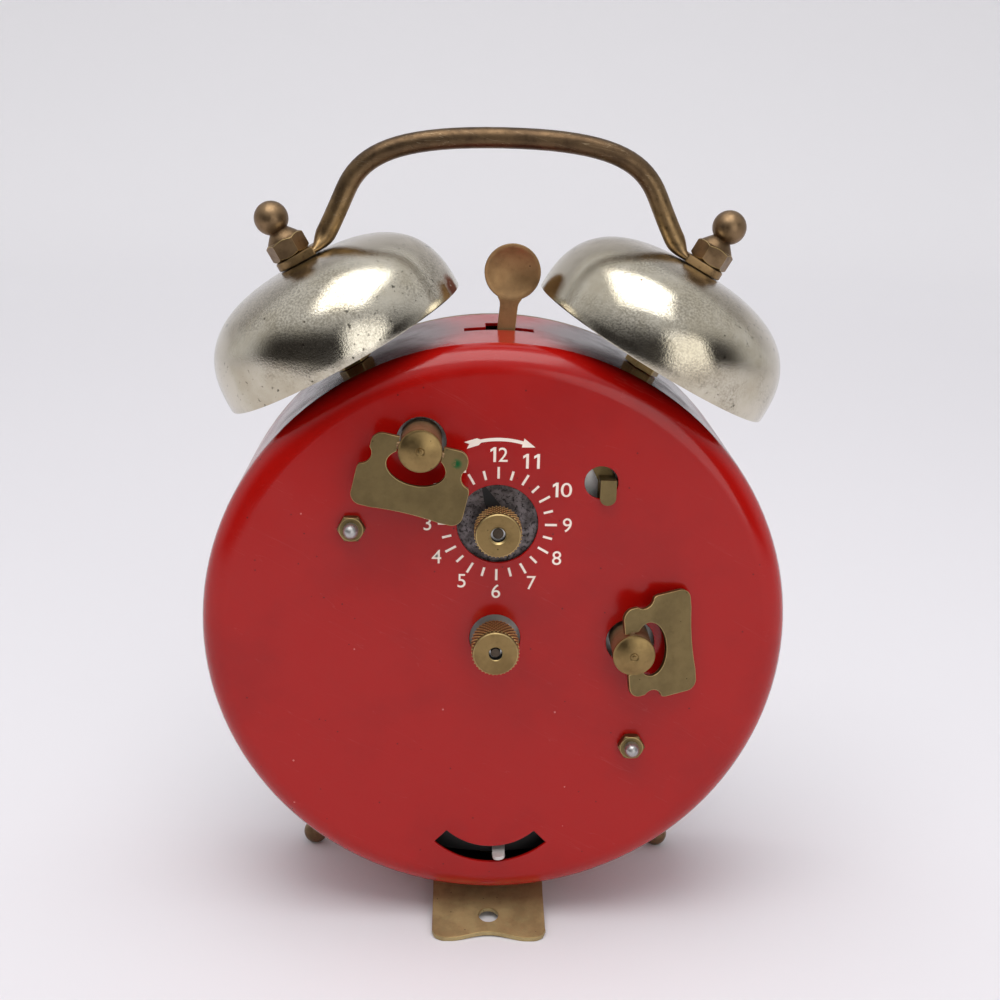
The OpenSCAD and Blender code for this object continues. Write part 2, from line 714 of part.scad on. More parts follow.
function handle_ring(s) = [for (k = [0 : handle_sides - 1])
    let (a = (k + 0.5) * 360 / handle_sides,
        across = s[2] / 2 * bulge(cos(a), s[4]),
        up = s[3] / 2 * bulge(sin(a), s[4]),
        q = s[0] + up * left_of(s[1]))
    [q.x, across - bell_depth, q.y]];

module handle() color(bronze) set_in_case() difference() {
    n = handle_sides;
    last = len(handle_path) - 1;
    polyhedron(
        [for (s = handle_path) each handle_ring(s)],
        concat(
            [[for (k = [0 : n - 1]) k]],
            [for (i = [0 : last - 1]) for (k = [0 : n - 1]) let (a = i * n + k, b = i * n + (k + 1) % n)
                each [[a, a + n, b], [b, a + n, b + n]]],
            [[for (k = [n - 1 : -1 : 0]) last * n + k]]));
    for (s = [-1, 1])
        radial(s * bell_angle, bell_depth) translate([0, 0, bell_top - 2])
            cylinder(d = stud_d + stud_play, h = handle_tip_t + 4);
}

// Feet

foot_r = foot_d / 2;
// Height of the small flat that the table has worn under each foot
foot_wear = 0.15;
foot_ball = [foot_spread, axis_h - foot_r + foot_wear];
foot_angle = atan2(foot_ball.x, foot_ball.y);
foot_end = norm(foot_ball);
foot_tenon_r = 1.5;
foot_tenon_l = 1.6;
foot_flange_r = 3.1;
foot_flange_t = 1;
foot_root_r = 2.4;
module front_feet() color(bronze) set_in_case() difference() {
    for (s = [-1, 1]) radial(180 - s * foot_angle, foot_depth) {
        translate([0, 0, case_r - foot_tenon_l]) cylinder(r = foot_tenon_r, h = foot_tenon_l + foot_flange_t);
        translate([0, 0, case_r + seat_gap]) cylinder(r = foot_flange_r, h = foot_flange_t);
        translate([0, 0, case_r + foot_flange_t / 2])
            cylinder(r1 = foot_root_r, r2 = foot_r, h = foot_end - case_r - foot_flange_t / 2);
        translate([0, 0, foot_end]) sphere(foot_r);
    }
    translate([-case_r, -foot_depth - foot_d, -axis_h - foot_d]) cube([2 * case_r, 2 * foot_d, foot_d]);
}

rear_rivet_r = 1.5;
rear_rivet_d = 17;
rear_tail_l = 12.3;
// Side view of the rear foot as [depth, height]: flange under the drum, bend, tail on the table
rear_edge_z = -axis_h + rear_foot_t / 2;
rear_flange_z = -case_r - rear_foot_t / 2 - seat_gap;
rear_line = [
    [rear_rivet_d + 4.5, rear_flange_z],
    [rear_tail_l, rear_flange_z],
    [rear_tail_l - rear_foot_reach, rear_edge_z + rear_foot_rise],
    [-rear_foot_reach, rear_edge_z + 0.02]];
rear_tail_dir = unit(rear_line[3] - rear_line[2]);
rear_hole = rear_line[3] - 5.2 * rear_tail_dir;
rear_hole_tilt = atan2(-rear_tail_dir.y, -rear_tail_dir.x);
module rear_foot() color(brass) set_in_case() difference() {
    intersection() {
        rotate([90, 0, 90]) translate([0, 0, -rear_foot_w])
            linear_extrude(2 * rear_foot_w) mirror([1, 0]) polygon(strip(rear_line, rear_foot_t));
        translate([0, 0, -axis_h]) linear_extrude(axis_h) difference() {
            rear_plan();
            translate([0, rear_foot_reach + 4.6]) circle(6);
        }
    }
    translate([0, -rear_hole.x, rear_hole.y]) rotate([-rear_hole_tilt, 0, 0])
        translate([0, 0, -4]) cylinder(d = rear_hole_d, h = 8);
    radial(180, rear_rivet_d) translate([0, 0, case_r - 4]) cylinder(r = rear_rivet_r + run_gap, h = 8);
}
// Plan of the rear foot in X and Y: narrow flange, wide tail with rounded corners
module rear_plan() {
    half = rear_foot_w / 2;
    corner = 4.5;
    tail_y = rear_foot_reach - rear_tail_l + 1;
    translate([-6, -rear_rivet_d - 6]) square([12, 12 + rear_rivet_d]);
    translate([-half, tail_y]) square([rear_foot_w, rear_tail_l - 1 - corner]);
    translate([-half + corner, tail_y]) square([rear_foot_w - 2 * corner, rear_tail_l + 1]);
    for (s = [-1, 1])
        translate([s * (half - corner), rear_foot_reach - corner]) circle(corner);
}
module rear_foot_rivet() color(brass) set_in_case() radial(180, rear_rivet_d) {
    translate([0, 0, case_r - case_t - 0.8]) cylinder(r = 2.4, h = 0.7);
    translate([0, 0, case_r - case_t - 0.4]) cylinder(r = rear_rivet_r, h = case_t + rear_foot_t + 0.8);
    translate([0, 0, case_r + rear_foot_t + 2 * seat_gap]) cylinder(r1 = 2.6, r2 = 1.6, h = 1);
}

// Plates and what stands on them

module movement_studs() color(steel) set_in_case() for (p = stud_spots) {
    rod(p, stud_collar_r, case_t, rear_d);
    rod(p, case_stud_r, rear_d - 0.5, rear_in);
    rod(p, case_stud_r, -2.6, case_t + 0.5);
    translate([p.x, 2.6, p.y]) intersection() {
        sphere(case_stud_r);
        translate([-2, 0, -2]) cube(4);
    }
}
case_nut_h = 1.7;
module case_nuts() color(brass) set_in_case() for (p = stud_spots) difference() {
    hex_rod(p, case_nut_af, -case_nut_h, 0);
    rod(p, case_stud_r + seat_gap, -case_nut_h - 1, 1);
}

module plate_outline() intersection() {
    circle(spread * plate_r);
    square(spread * [2 * plate_half_w, 2 * plate_r + 2], center = true);
}

module bores(spots, r, lv) for (p = spots)
    rod(p, r, lv[0] - 1, lv[1] + 1);

module front_plate() color(brass) set_in_case() {
    lv = [front_in, front_d];
    difference() {
        flat(lv) plate_outline();
        bores([third, escape, pallet, star, hammer_pivot], pivot_r + run_gap, lv);
        bores([time_key, alarm_key], winding_front_r + run_gap, lv);
        bores([centre], centre_arbor_r + run_gap, lv);
        bores([alarm_set], alarm_arbor_r + run_gap, lv);
        bores([balance], bearing_r + seat_gap, lv);
        bores([minute_spot], minute_stud_r + seat_gap, lv);
        bores(pillar_spots, pillar_tenon_r + seat_gap, lv);
    }
}

module back_plate() color(brass) set_in_case() {
    lv = [rear_d, rear_in];
    difference() {
        flat(lv) plate_outline();
        bores([third, escape, pallet, star], pivot_r + run_gap, lv);
        bores([hammer_pivot], crank_pivot_r + run_gap, lv);
        bores([time_key, alarm_key], winding_r + run_gap, lv);
        bores([centre], centre_arbor_r + run_gap, lv);
        bores([alarm_set], alarm_arbor_r + run_gap, lv);
        bores([balance], bearing_r + seat_gap, lv);
        bores(pillar_spots, pillar_tenon_r + seat_gap, lv);
        bores(stud_spots, case_stud_r + seat_gap, lv);
        bores([stop_pivot], stop_screw_r + seat_gap, lv);
    }
    rod(hair_post, hair_post_r, rear_in, hair_lv[1] + 0.3);
}

module pillars() color(brass) set_in_case() for (p = pillar_spots)
    arbor(p, [rear_d - pillar_nut_h - 0.3, rear_in, front_in, front_d],
        [pillar_tenon_r, pillar_r, pillar_tenon_r]);

module pillar_nuts() color(steel) set_in_case() for (p = pillar_spots) difference() {
    hex_rod(p, pillar_nut_af, rear_d - pillar_nut_h, rear_d);
    rod(p, pillar_tenon_r + seat_gap, rear_d - pillar_nut_h - 1, rear_d + 1);
}

going_spring_r0 = winding_core_r + 0.8;
going_spring_r1 = 16.5 * spread;
module going_mainspring() color(blued) set_in_case() flat_at(time_key, going_spring_lv)
    spring_coil(time_key, going_spring_r0, going_spring_r1, going_turns, 0.45,
        going_post, pillar_r + run_gap);

alarm_spring_r1 = 9.6 * spread;
module alarm_mainspring() color(blued) set_in_case() flat_at(alarm_key, alarm_spring_lv)
    spring_coil(alarm_key, going_spring_r0, alarm_spring_r1, alarm_turns, 0.35,
        alarm_post, pillar_r + run_gap);

hair_collet_r = 1.3;
hair_r1 = 5.6;
module hairspring() color(blued) set_in_case() flat_at(balance, hair_lv)
    spring_coil(balance, hair_collet_r + 0.35, hair_r1, hair_turns, 0.25,
        hair_post, hair_post_r + run_gap);

// Screws that hold the balance's two pivots in cups
bearing_out = 1.3;
bearing_in = 0.6;
module balance_bearings() color(steel) set_in_case() {
    difference() {
        rod(balance, bearing_r, rear_d - bearing_out, rear_in + bearing_in);
        rod(balance, cup_r, rear_in + bearing_in - 1.4, rear_in + bearing_in + 1);
        flat_at(balance, [rear_d - bearing_out - 1, rear_d - bearing_out + 0.4])
            square([2 * bearing_r + 1, 0.6], center = true);
    }
    difference() {
        rod(balance, bearing_r, front_in - bearing_in, front_d + bearing_out);
        rod(balance, cup_r, front_in - bearing_in - 1, front_in - bearing_in + 1.4);
        flat_at(balance, [front_d + bearing_out - 0.4, front_d + bearing_out + 1])
            square([2 * bearing_r + 1, 0.6], center = true);
    }
}

minute_stud_r = 1.2;
module minute_wheel_stud() color(steel) set_in_case() {
    top = minute_pinion_lv[1];
    arbor(minute_spot, [front_in, front_d, front_d + 0.8, top + 0.2, top + 0.7],
        [minute_stud_r, 2.2, minute_stud_r, 1.9]);
}

// Winding

ratchet_r = 7.5;
ratchet_depth = 0.9;
module winding_arbor(p, wheel_ratchet_lv, wheel_lv) color(steel) set_in_case()
    arbor(p, [arbor_end, rear_in + end_play, wheel_ratchet_lv[1], wheel_lv[1] + run_gap,
            wheel_lv[1] + 0.8, front_in - end_play, front_d],
        [winding_r, winding_core_r, great_seat_r, 3, great_seat_r, winding_front_r]);
module time_winding_arbor() winding_arbor(time_key, ratchet_lv, great_lv);
module alarm_winding_arbor() winding_arbor(alarm_key, alarm_ratchet_lv, alarm_great_lv);

module ratchet_wheel(p, lv, tip_r) color(steel) set_in_case() difference() {
    flat_at(p, lv) saw(18, tip_r, tip_r - ratchet_depth);
    rod(p, winding_core_r + seat_gap, lv[0] - 1, lv[1] + 1);
}
alarm_ratchet_r = 5;
module time_ratchet_wheel() ratchet_wheel(time_key, ratchet_lv, ratchet_r);
module alarm_ratchet_wheel() ratchet_wheel(alarm_key, alarm_ratchet_lv, alarm_ratchet_r);

// Turned stem that screws on the arbor, cross-drilled for the wing's pins
module key_stem(p, wing_angle) color(brass) set_in_case() difference() {
    union() {
        rod(p, key_stem_d / 2, wing_lv[0] - 0.6, stem_end);
        turned(p) polygon([[0, -key_reach + 0.15], [key_head_d / 2 - 1.2, -key_reach + 0.4],
            [key_head_d / 2 - 0.3, -key_reach + 0.8], [key_head_d / 2, -key_reach + 1.2],
            [key_head_d / 2, wing_lv[0] - 0.4], [0, wing_lv[0] - 0.4]]);
        rod(p, 0.6, -key_reach, -key_reach + 1);
    }
    rod(p, winding_r + seat_gap, arbor_end - 0.2, stem_end + 1);
    cross_bar(p, wing_angle + 90, wing_mid, hinge_pin_r + run_gap, -key_stem_d, key_stem_d);
}
module time_key_stem() key_stem(time_key, time_wing_angle);
module alarm_key_stem() key_stem(alarm_key, alarm_wing_angle);

// Wing drawn along +X from its hinge line on Y: two lobes, a notch in each flank, two ears by the stem
ear_w = 17.2;
ear_tail = 1.45;
ear_r = 2;
lobe_start = 3.9;
lobe_r = 2;
notch = [2.9, 1.9];
notch_floor = 8;
// Opening that clears the head when the wing is folded over: middle, half length, half width
wing_eye = [3.35, 3.2, 5.2];
wing_slot = key_stem_d / 2 + 0.25;
// Hollow in the outer edge, for the finger
edge_hollow = 0.35;
edge_hollow_r = 52;
module wing_outline() difference() {
    union() {
        round_rect(lobe_start, wing_reach, -wing_w / 2, wing_w / 2, lobe_r);
        round_rect(-ear_tail, lobe_start + 2 * lobe_r, -ear_w / 2, ear_w / 2, ear_r);
    }
    polygon([for (a = [0 : 6 : 354]) [wing_eye[0] + wing_eye[1] * cos(a), wing_eye[2] * sin(a)]]);
    translate([-ear_tail - 1, -wing_slot]) square([ear_tail + 1 + wing_eye[0], 2 * wing_slot]);
    for (s = [-1, 1])
        translate([notch[0], s * (notch_floor + notch[1])]) circle(notch[1]);
    translate([wing_reach - edge_hollow + edge_hollow_r, 0]) circle(edge_hollow_r, $fn = 360);
}
module key_wing(p, a, lean) color(brass) set_in_case() {
    translate([p.x, -wing_mid, p.y]) rotate([0, -a, 0]) rotate([0, 0, -lean])
        flat([-wing_t / 2, wing_t / 2]) wing_outline();
    for (s = [0, 180])
        cross_bar(p, a + 90 + s, wing_mid, hinge_pin_r, winding_r + 0.4, wing_slot + 0.3);
}
module time_key_wing() key_wing(time_key, time_wing_angle, time_wing_lean);
module alarm_key_wing() key_wing(alarm_key, alarm_wing_angle, alarm_wing_lean);

// Great wheels carry a pin for their click
click_reach = 4.6;
click_gap = 0.25;
module great(p, z, m, phase, hub_r, lv, click_lv, ratchet_tip, arms) color(brass) set_in_case() {
    flat_at(p, lv) toothed_wheel(z, m, phase, hub_r, arms, great_seat_r + run_gap);
    rod(click_spot(p, ratchet_tip), click_pin_r, click_lv[0], lv[0] + 0.2);
}
function click_spot(p, tip_r) = polar(p, tip_r + 2.6, 0);
module great_wheel()
    great(time_key, great_teeth, great_module, great_phase, 6, great_lv, ratchet_lv, ratchet_r, 6);
module alarm_great_wheel()
    great(alarm_key, alarm_great_teeth, alarm_module, alarm_great_phase, 4.5,
        alarm_great_lv, alarm_ratchet_lv, alarm_ratchet_r, 4);

// Pawl whose nose stops just short of the ratchet's tips
module click(p, tip_r, lv) color(steel) set_in_case() {
    spot = click_spot(p, tip_r);
    nose = polar(p, tip_r + click_gap, click_reach / tip_r * 57.3);
    outer = polar(p, tip_r + click_gap + 1, click_reach / tip_r * 57.3 + 3);
    flat([lv[0] + 0.1, lv[1] - 0.1]) difference() {
        union() {
            translate(spot) circle(1.9);
            polygon([spot + [-1.75, 0.7], spot + [1.75, 0.7], outer, nose]);
        }
        translate(spot) circle(click_pin_r + run_gap);
    }
}
module time_click() click(time_key, ratchet_r, ratchet_lv);
module alarm_click() click(alarm_key, alarm_ratchet_r, alarm_ratchet_lv);

// Going train

knob_chamfer = 0.5;
knurl_depth = 0.25;
knurl_columns = 44;
knurl_pitch = 0.62;
// Band of small pyramids round an arbor: both ends and every other corner of a fine grid are sunk
module knurl(p, d, from, to) {
    n = knurl_columns;
    rows = round((to - from) / knurl_pitch);
    polyhedron(
        [for (i = [0 : rows]) for (k = [0 : n - 1])
            let (sunk = i == 0 || i == rows || (i + k) % 2 == 1,
                q = polar(p, d / 2 - (sunk ? knurl_depth : 0), 360 * k / n))
            [q.x, -from - (to - from) * i / rows, q.y]],
        concat(
            [[for (k = [0 : n - 1]) k]],
            [for (i = [0 : rows - 1]) for (k = [0 : n - 1])
                let (a = i * n + k, b = i * n + (k + 1) % n)
                each (i + k) % 2 == 0
                    ? [[a, a + n, b], [b, a + n, b + n]]
                    : [[a, b + n, b], [a, a + n, b + n]]],
            [[for (k = [n - 1 : -1 : 0]) rows * n + k]]));
}
module knob(p, d, reach, bottom, bore_r, recess_d) color(brass) set_in_case() difference() {
    neck_r = d / 2 - knurl_depth - run_gap;
    union() {
        turned(p) polygon([[0, bottom], [neck_r, bottom], [neck_r, -reach + knob_chamfer - knurl_depth],
            [neck_r - knob_chamfer + knurl_depth, -reach], [0, -reach]]);
        knurl(p, d, -reach + knob_chamfer, -knob_chamfer);
    }
    rod(p, bore_r + seat_gap, -reach + 1, bottom + 1);
    rod(p, recess_d / 2, -reach - 1, -reach + 1.1);
}
time_knob_recess = 2.3;
module time_set_knob()
    knob(centre, time_knob_d, time_knob_reach, stem_end, centre_arbor_r, time_knob_recess);

centre_end = minute_hand_lv[1] + 0.8;
centre_seat_r = 1.8;
centre_collar_r = 2.2;
centre_hub_r = 4;
train_hub_r = 3;
module centre_arbor() color(steel) set_in_case() {
    arbor(centre, [-time_knob_reach + 1.3, rear_in + end_play, centre_pinion_lv[0], centre_pinion_lv[1],
            centre_lv[1], front_in - end_play, centre_end],
        [centre_arbor_r, centre_seat_r, centre_arbor_r, centre_seat_r, centre_collar_r, centre_arbor_r]);
    flat(centre_pinion_lv) teeth(centre_leaves, great_module, centre_pinion_phase);
}
module centre_wheel() color(brass) set_in_case()
    flat(centre_lv)
        toothed_wheel(centre_teeth, train_m, centre_phase, centre_hub_r, 4, centre_seat_r + seat_gap);

module third_wheel() color(brass) set_in_case() {
    flat_at(third, third_lv) toothed_wheel(third_teeth, train_m, third_phase, train_hub_r, 4, 0.5);
    flat_at(third, third_pinion_lv) teeth(third_leaves, train_m, third_pinion_phase);
    train_arbor(third);
}

// Thin arbor with a pivot in each plate
module train_arbor(p, r = 0.9)
    arbor(p, [rear_d, rear_in + end_play, front_in - end_play, front_d], [pivot_r, r, pivot_r]);

escape_r = 4.6 * spread;
module escape_wheel() color(brass) set_in_case() {
    flat_at(escape, escape_lv) crossed(escape_r - 1.9, 1.6, 3, 0.9, 0.5)
        saw(escape_teeth, escape_r, escape_r - 1.2);
    flat_at(escape, escape_pinion_lv) teeth(escape_leaves, train_m, escape_pinion_phase);
    train_arbor(escape);
}

// Lever with two pins by the escape wheel and a fork by the balance
pallet_pin_r = 0.35;
roller_r = 2;
module pallet_lever() color(brass) set_in_case() {
    to_escape = bearing(escape, pallet);
    pin_reach = escape_r + pallet_pin_r + 0.5;
    pins = [for (s = [-1, 1]) polar(escape, pin_reach, to_escape + s * 52)];
    fork_dir = unit(balance - pallet);
    fork_end = balance - (roller_r + 1.1) * fork_dir;
    flat(lever_lv) {
        translate(pallet) circle(1.6);
        polygon(strip([pins[0], pallet, pins[1]], 1.1));
        for (q = pins)
            translate(q) circle(0.6);
        difference() {
            union() {
                polygon(strip([pallet, fork_end], 1.2));
                translate(fork_end - 0.9 * fork_dir) rotate(bearing(pallet, balance))
                    square([1.8, 2.6], center = true);
            }
            translate(fork_end) rotate(bearing(pallet, balance)) square([2, 0.9], center = true);
        }
    }
    for (q = pins)
        rod(q, pallet_pin_r, escape_lv[0] - 0.1, lever_lv[1]);
    train_arbor(pallet);
}

balance_rim_w = 1.5;
staff_r = 0.8;
staff_pivot_r = 0.4;
module balance_wheel() color(brass) set_in_case() {
    flat_at(balance, rim_lv) crossed(balance_r - balance_rim_w, 1.8, 2, 1.6, 0.4) circle(balance_r);
    rod(balance, hair_collet_r, hair_lv[0] + 0.05, hair_lv[1] - 0.05);
    rod(balance, roller_r + 0.6, lever_lv[0] - 1.4, lever_lv[0] - 0.7);
    rod(polar(balance, roller_r, bearing(balance, pallet)), 0.35, lever_lv[0] - 0.8, lever_lv[1] + 0.4);
    rear_cup = rear_in + bearing_in;
    front_cup = front_in - bearing_in;
    arbor(balance, [rear_cup - 1.1, rear_cup + 0.2, front_cup - 0.2, front_cup + 1.1],
        [staff_pivot_r, staff_r, staff_pivot_r]);
}

// Lever round the rear bearing screw, with a tongue out of the curved slot
tongue_t = 0.7;
tongue_out = 1.6;
module regulator_lever() color(nickel) set_in_case()
    translate([balance.x, 0, balance.y]) rotate([0, regulator_turn, 0]) {
        half = regulator_tongue_w / 2;
        flat(outer_lever_lv) difference() {
            union() {
                circle(bearing_r + 1.8);
                translate([-half, -regulator_r - tongue_t / 2]) square([regulator_tongue_w, regulator_r]);
            }
            circle(bearing_r + run_gap);
        }
        translate([0, 0, -regulator_r - tongue_t / 2]) {
            translate([-half, -outer_lever_lv[1], 0])
                cube([regulator_tongue_w, outer_lever_lv[1] + tongue_out - half, tongue_t]);
            translate([0, tongue_out - half, 0]) cylinder(r = half, h = tongue_t);
        }
    }

// Motion work and hands

cannon_pipe_r = 2;
module cannon_pinion() color(steel) set_in_case() difference() {
    union() {
        flat(cannon_lv) teeth(cannon_leaves, minute_module, cannon_phase);
        rod(centre, cannon_pipe_r, cannon_lv[0], minute_hand_lv[1] + 0.2);
    }
    rod(centre, centre_arbor_r + seat_gap, cannon_lv[0] - 1, minute_hand_lv[1] + 1);
}
module minute_wheel() color(brass) set_in_case() difference() {
    union() {
        flat_at(minute_spot, minute_lv)
            toothed_wheel(minute_teeth, minute_module, minute_phase, 3.2, 4, 0.5);
        flat_at(minute_spot, [minute_lv[0], minute_pinion_lv[1]])
            teeth(minute_leaves, hour_module, minute_pinion_phase);
    }
    rod(minute_spot, minute_stud_r + run_gap, minute_lv[0] - 1, minute_pinion_lv[1] + 1);
}
module hour_wheel() color(brass) set_in_case() difference() {
    union() {
        flat(hour_lv) toothed_wheel(hour_teeth, hour_module, hour_phase, 4.6, 4, 1);
        rod(centre, hour_pipe_r, hour_lv[0], hour_hand_lv[1] + 0.2);
    }
    rod(centre, cannon_pipe_r + run_gap, hour_lv[0] - 1, hour_hand_lv[1] + 1);
}
module hand(turn, lv, l, w, hub_r, bore_r) color(ink) set_in_case()
    rotate([0, turn, 0]) flat(lv) difference() {
        union() {
            circle(hub_r);
            polygon([[-w / 2, -l / 4], [w / 2, -l / 4], [w * 0.7, 0], [w * 0.35, l - 2 * w],
                [0, l], [-w * 0.35, l - 2 * w], [-w * 0.7, 0]]);
        }
        circle(bore_r);
    }
hour_hand_turn = 305;
minute_hand_turn = 60;
module hour_hand() hand(hour_hand_turn, hour_hand_lv, hour_hand_l, 3, 4.4, hour_pipe_r + seat_gap);
module minute_hand()
    hand(minute_hand_turn, minute_hand_lv, minute_hand_l, 2.4, 3.6, cannon_pipe_r + seat_gap);

// Alarm

module alarm_wheel() color(brass) set_in_case()
    flat_at(alarm_set, hour_lv)
        toothed_wheel(hour_teeth, hour_module, alarm_phase, 4.6, 4, alarm_arbor_r + run_gap);
cam_r = 4;
module alarm_set_arbor() color(steel) set_in_case() {
    arbor(alarm_set, [-alarm_knob_reach + 1.3, rear_in + end_play, front_in - end_play,
            hour_lv[1] + 0.3, hour_lv[1] + 0.9],
        [alarm_arbor_r, 2, alarm_arbor_r, 2.4]);
    flat_at(alarm_set, [hour_lv[0] - 1.1, hour_lv[0] - 0.3]) difference() {
        circle(cam_r);
        translate([cam_r, 0]) rotate(45) square(2, center = true);
    }
}
disc_r = alarm_window_d / 2 + 1.2;
module alarm_pointer_disc() color(steel) set_in_case() difference() {
    flat_at(alarm_set, disc_lv) circle(disc_r);
    rod(alarm_set, alarm_arbor_r + seat_gap, disc_lv[0] - 1, disc_lv[1] + 1);
}
alarm_knob_recess = 2.5;
module alarm_set_knob()
    knob(alarm_set, alarm_knob_d, alarm_knob_reach, disc_lv[0] - seat_gap, alarm_arbor_r, alarm_knob_recess);

module alarm_star_wheel() color(steel) set_in_case() {
    flat_at(star, star_lv) saw(star_points, star_r, star_r - 1);
    flat_at(star, star_pinion_lv) teeth(star_leaves, alarm_module, star_phase);
    train_arbor(star);
}

// Strip on its arbor with a dished round head that faces the back
hammer_hub_r = 2.6;
hammer_arbor_r = 1.2;
module hammer() color(bronze) set_in_case()
    translate([hammer_pivot.x, 0, hammer_pivot.y]) rotate([0, -hammer_lean, 0]) {
        head_r = hammer_head_d / 2;
        rear = hammer_lv[0];
        front = hammer_lv[1];
        difference() {
            flat(hammer_lv) {
                circle(hammer_hub_r);
                translate([-hammer_strip_w / 2, 0]) square([hammer_strip_w, hammer_reach - head_r + 1.2]);
            }
            rod([0, 0], hammer_arbor_r + seat_gap, rear - 1, front + 1);
        }
        turned([0, hammer_reach]) polygon([
            [0, front + hammer_dish], [head_r * 0.55, front + hammer_dish * 0.72],
            [head_r * 0.86, front + hammer_dish * 0.1], [head_r, front - hammer_dish * 0.5],
            [head_r, rear - hammer_dish * 0.6], [head_r - 0.5, rear - hammer_dish * 0.6],
            [head_r * 0.8, rear + hammer_dish * 0.1], [head_r * 0.5, rear + hammer_dish * 0.72],
            [0, rear + hammer_dish]]);
    }

// Arbor with two pallets round the star wheel and a crank behind the back plate
verge_reach = 1.8;
crank_pivot_r = 0.8;
crank_l = 5;
crank_w = 2.4;
module hammer_arbor() color(steel) set_in_case() {
    to_hammer = bearing(star, hammer_pivot);
    pins = [for (s = [-1, 1]) polar(star, star_r + verge_reach, to_hammer + 55 * s)];
    arbor(hammer_pivot, [outer_lever_lv[0], rear_in + end_play, front_in - end_play, front_d],
        [crank_pivot_r, hammer_arbor_r, pivot_r]);
    flat(star_lv) {
        translate(hammer_pivot) circle(1.9);
        polygon(strip([pins[0], hammer_pivot, pins[1]], 1));
        for (q = pins)
            translate(q) circle(0.55);
    }
    flat(outer_lever_lv) {
        translate(hammer_pivot) circle(crank_w / 2);
        translate(hammer_pivot - [crank_l, crank_w / 2]) square([crank_l, crank_w]);
    }
}

// Bent lever on a shoulder screw, with a tab out of its hole, that stops the hammer's crank
stop_w = 3;
stop_tab = stop_hole - [1.15, 0];
stop_tab_w = 2.9;
stop_throw = 9;
stop_hook_l = 6;
// Where the hook's end comes to, above the crank at the end of the crank's swing
stop_goal = hammer_pivot + [-crank_l / 2, crank_l * sin(10) + crank_w / 2 + stop_w / 2 + 0.3];
module alarm_stop_lever() color(brass) set_in_case() {
    tab_t = 0.8;
    tab_out = [-1.4, -0.6];
    tab_drop = 2.4;
    to_goal = stop_goal - stop_pivot;
    finger = polar(stop_pivot, norm(to_goal), atan2(to_goal.y, to_goal.x) + stop_throw);
    difference() {
        flat(outer_lever_lv) {
            translate(stop_pivot) circle(3.2);
            polygon(strip([stop_pivot, stop_tab, finger - [stop_hook_l, 0], finger], stop_w));
            translate(finger) circle(stop_w / 2);
        }
        rod(stop_pivot, stop_screw_r + run_gap, outer_lever_lv[0] - 1, outer_lever_lv[1] + 1);
    }
    translate([stop_tab.x - stop_tab_w / 2, -outer_lever_lv[1], stop_tab.y])
        cube([stop_tab_w, outer_lever_lv[1] - tab_out[0], tab_t]);
    flat(tab_out) {
        translate(stop_tab - [stop_tab_w / 2, tab_drop]) square([stop_tab_w, tab_drop + tab_t]);
        translate(stop_tab - [0, tab_drop]) circle(stop_tab_w / 2);
    }
}
module alarm_stop_screw() color(steel) set_in_case()
    arbor(stop_pivot, [outer_lever_lv[0] - 0.7, outer_lever_lv[0] - run_gap, rear_in], [2.6, stop_screw_r]);

case_drum();
front_bezel();
lens();
lens_spacer_ring();
dial_plate();
left_bell();
right_bell();
left_bell_post();
right_bell_post();
acorn_nuts();
post_nuts();
handle();
front_feet();
rear_foot();
rear_foot_rivet();
movement_studs();
case_nuts();
front_plate();
back_plate();
pillars();
pillar_nuts();
going_mainspring();
alarm_mainspring();
hairspring();
balance_bearings();
minute_wheel_stud();
time_winding_arbor();
time_ratchet_wheel();
time_key_stem();
time_key_wing();
alarm_winding_arbor();
alarm_ratchet_wheel();
alarm_key_stem();
alarm_key_wing();
great_wheel();
time_click();
alarm_great_wheel();
alarm_click();
centre_arbor();
centre_wheel();
time_set_knob();
cannon_pinion();
minute_hand();
minute_wheel();
hour_wheel();
hour_hand();
alarm_wheel();
alarm_set_arbor();
alarm_pointer_disc();
alarm_set_knob();
third_wheel();
escape_wheel();
pallet_lever();
balance_wheel();
regulator_lever();
alarm_star_wheel();
hammer();
hammer_arbor();
alarm_stop_lever();
alarm_stop_screw();
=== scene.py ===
# %% [markdown]
# # A wind-up alarm clock with two bells, seen from its back
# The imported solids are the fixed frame: they say where every piece is and how it moves.
# This lesson dresses them. Pieces that the eye lands on are modelled again with Blender's own tools,
# and the movement inside keeps its solids and only gets its metals.

# %% Load the frame
import json
import math

import bmesh
import bpy
from mathutils import Matrix, Vector


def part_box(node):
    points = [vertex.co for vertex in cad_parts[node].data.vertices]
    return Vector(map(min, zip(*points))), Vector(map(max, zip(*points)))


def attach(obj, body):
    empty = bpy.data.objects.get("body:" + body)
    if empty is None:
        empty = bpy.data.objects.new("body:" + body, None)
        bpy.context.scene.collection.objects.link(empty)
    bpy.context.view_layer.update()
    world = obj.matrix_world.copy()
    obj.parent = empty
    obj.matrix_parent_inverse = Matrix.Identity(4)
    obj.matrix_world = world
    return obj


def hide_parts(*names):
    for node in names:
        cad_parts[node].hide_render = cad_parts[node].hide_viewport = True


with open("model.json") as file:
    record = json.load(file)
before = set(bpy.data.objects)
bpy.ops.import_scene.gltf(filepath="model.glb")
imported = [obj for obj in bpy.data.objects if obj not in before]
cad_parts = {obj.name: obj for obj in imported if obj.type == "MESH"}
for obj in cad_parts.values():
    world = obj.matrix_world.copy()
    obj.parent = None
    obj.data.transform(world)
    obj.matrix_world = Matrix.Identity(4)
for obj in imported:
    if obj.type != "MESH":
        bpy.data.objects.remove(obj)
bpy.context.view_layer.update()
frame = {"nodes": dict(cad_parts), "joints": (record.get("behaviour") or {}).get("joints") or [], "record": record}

MM = 0.001
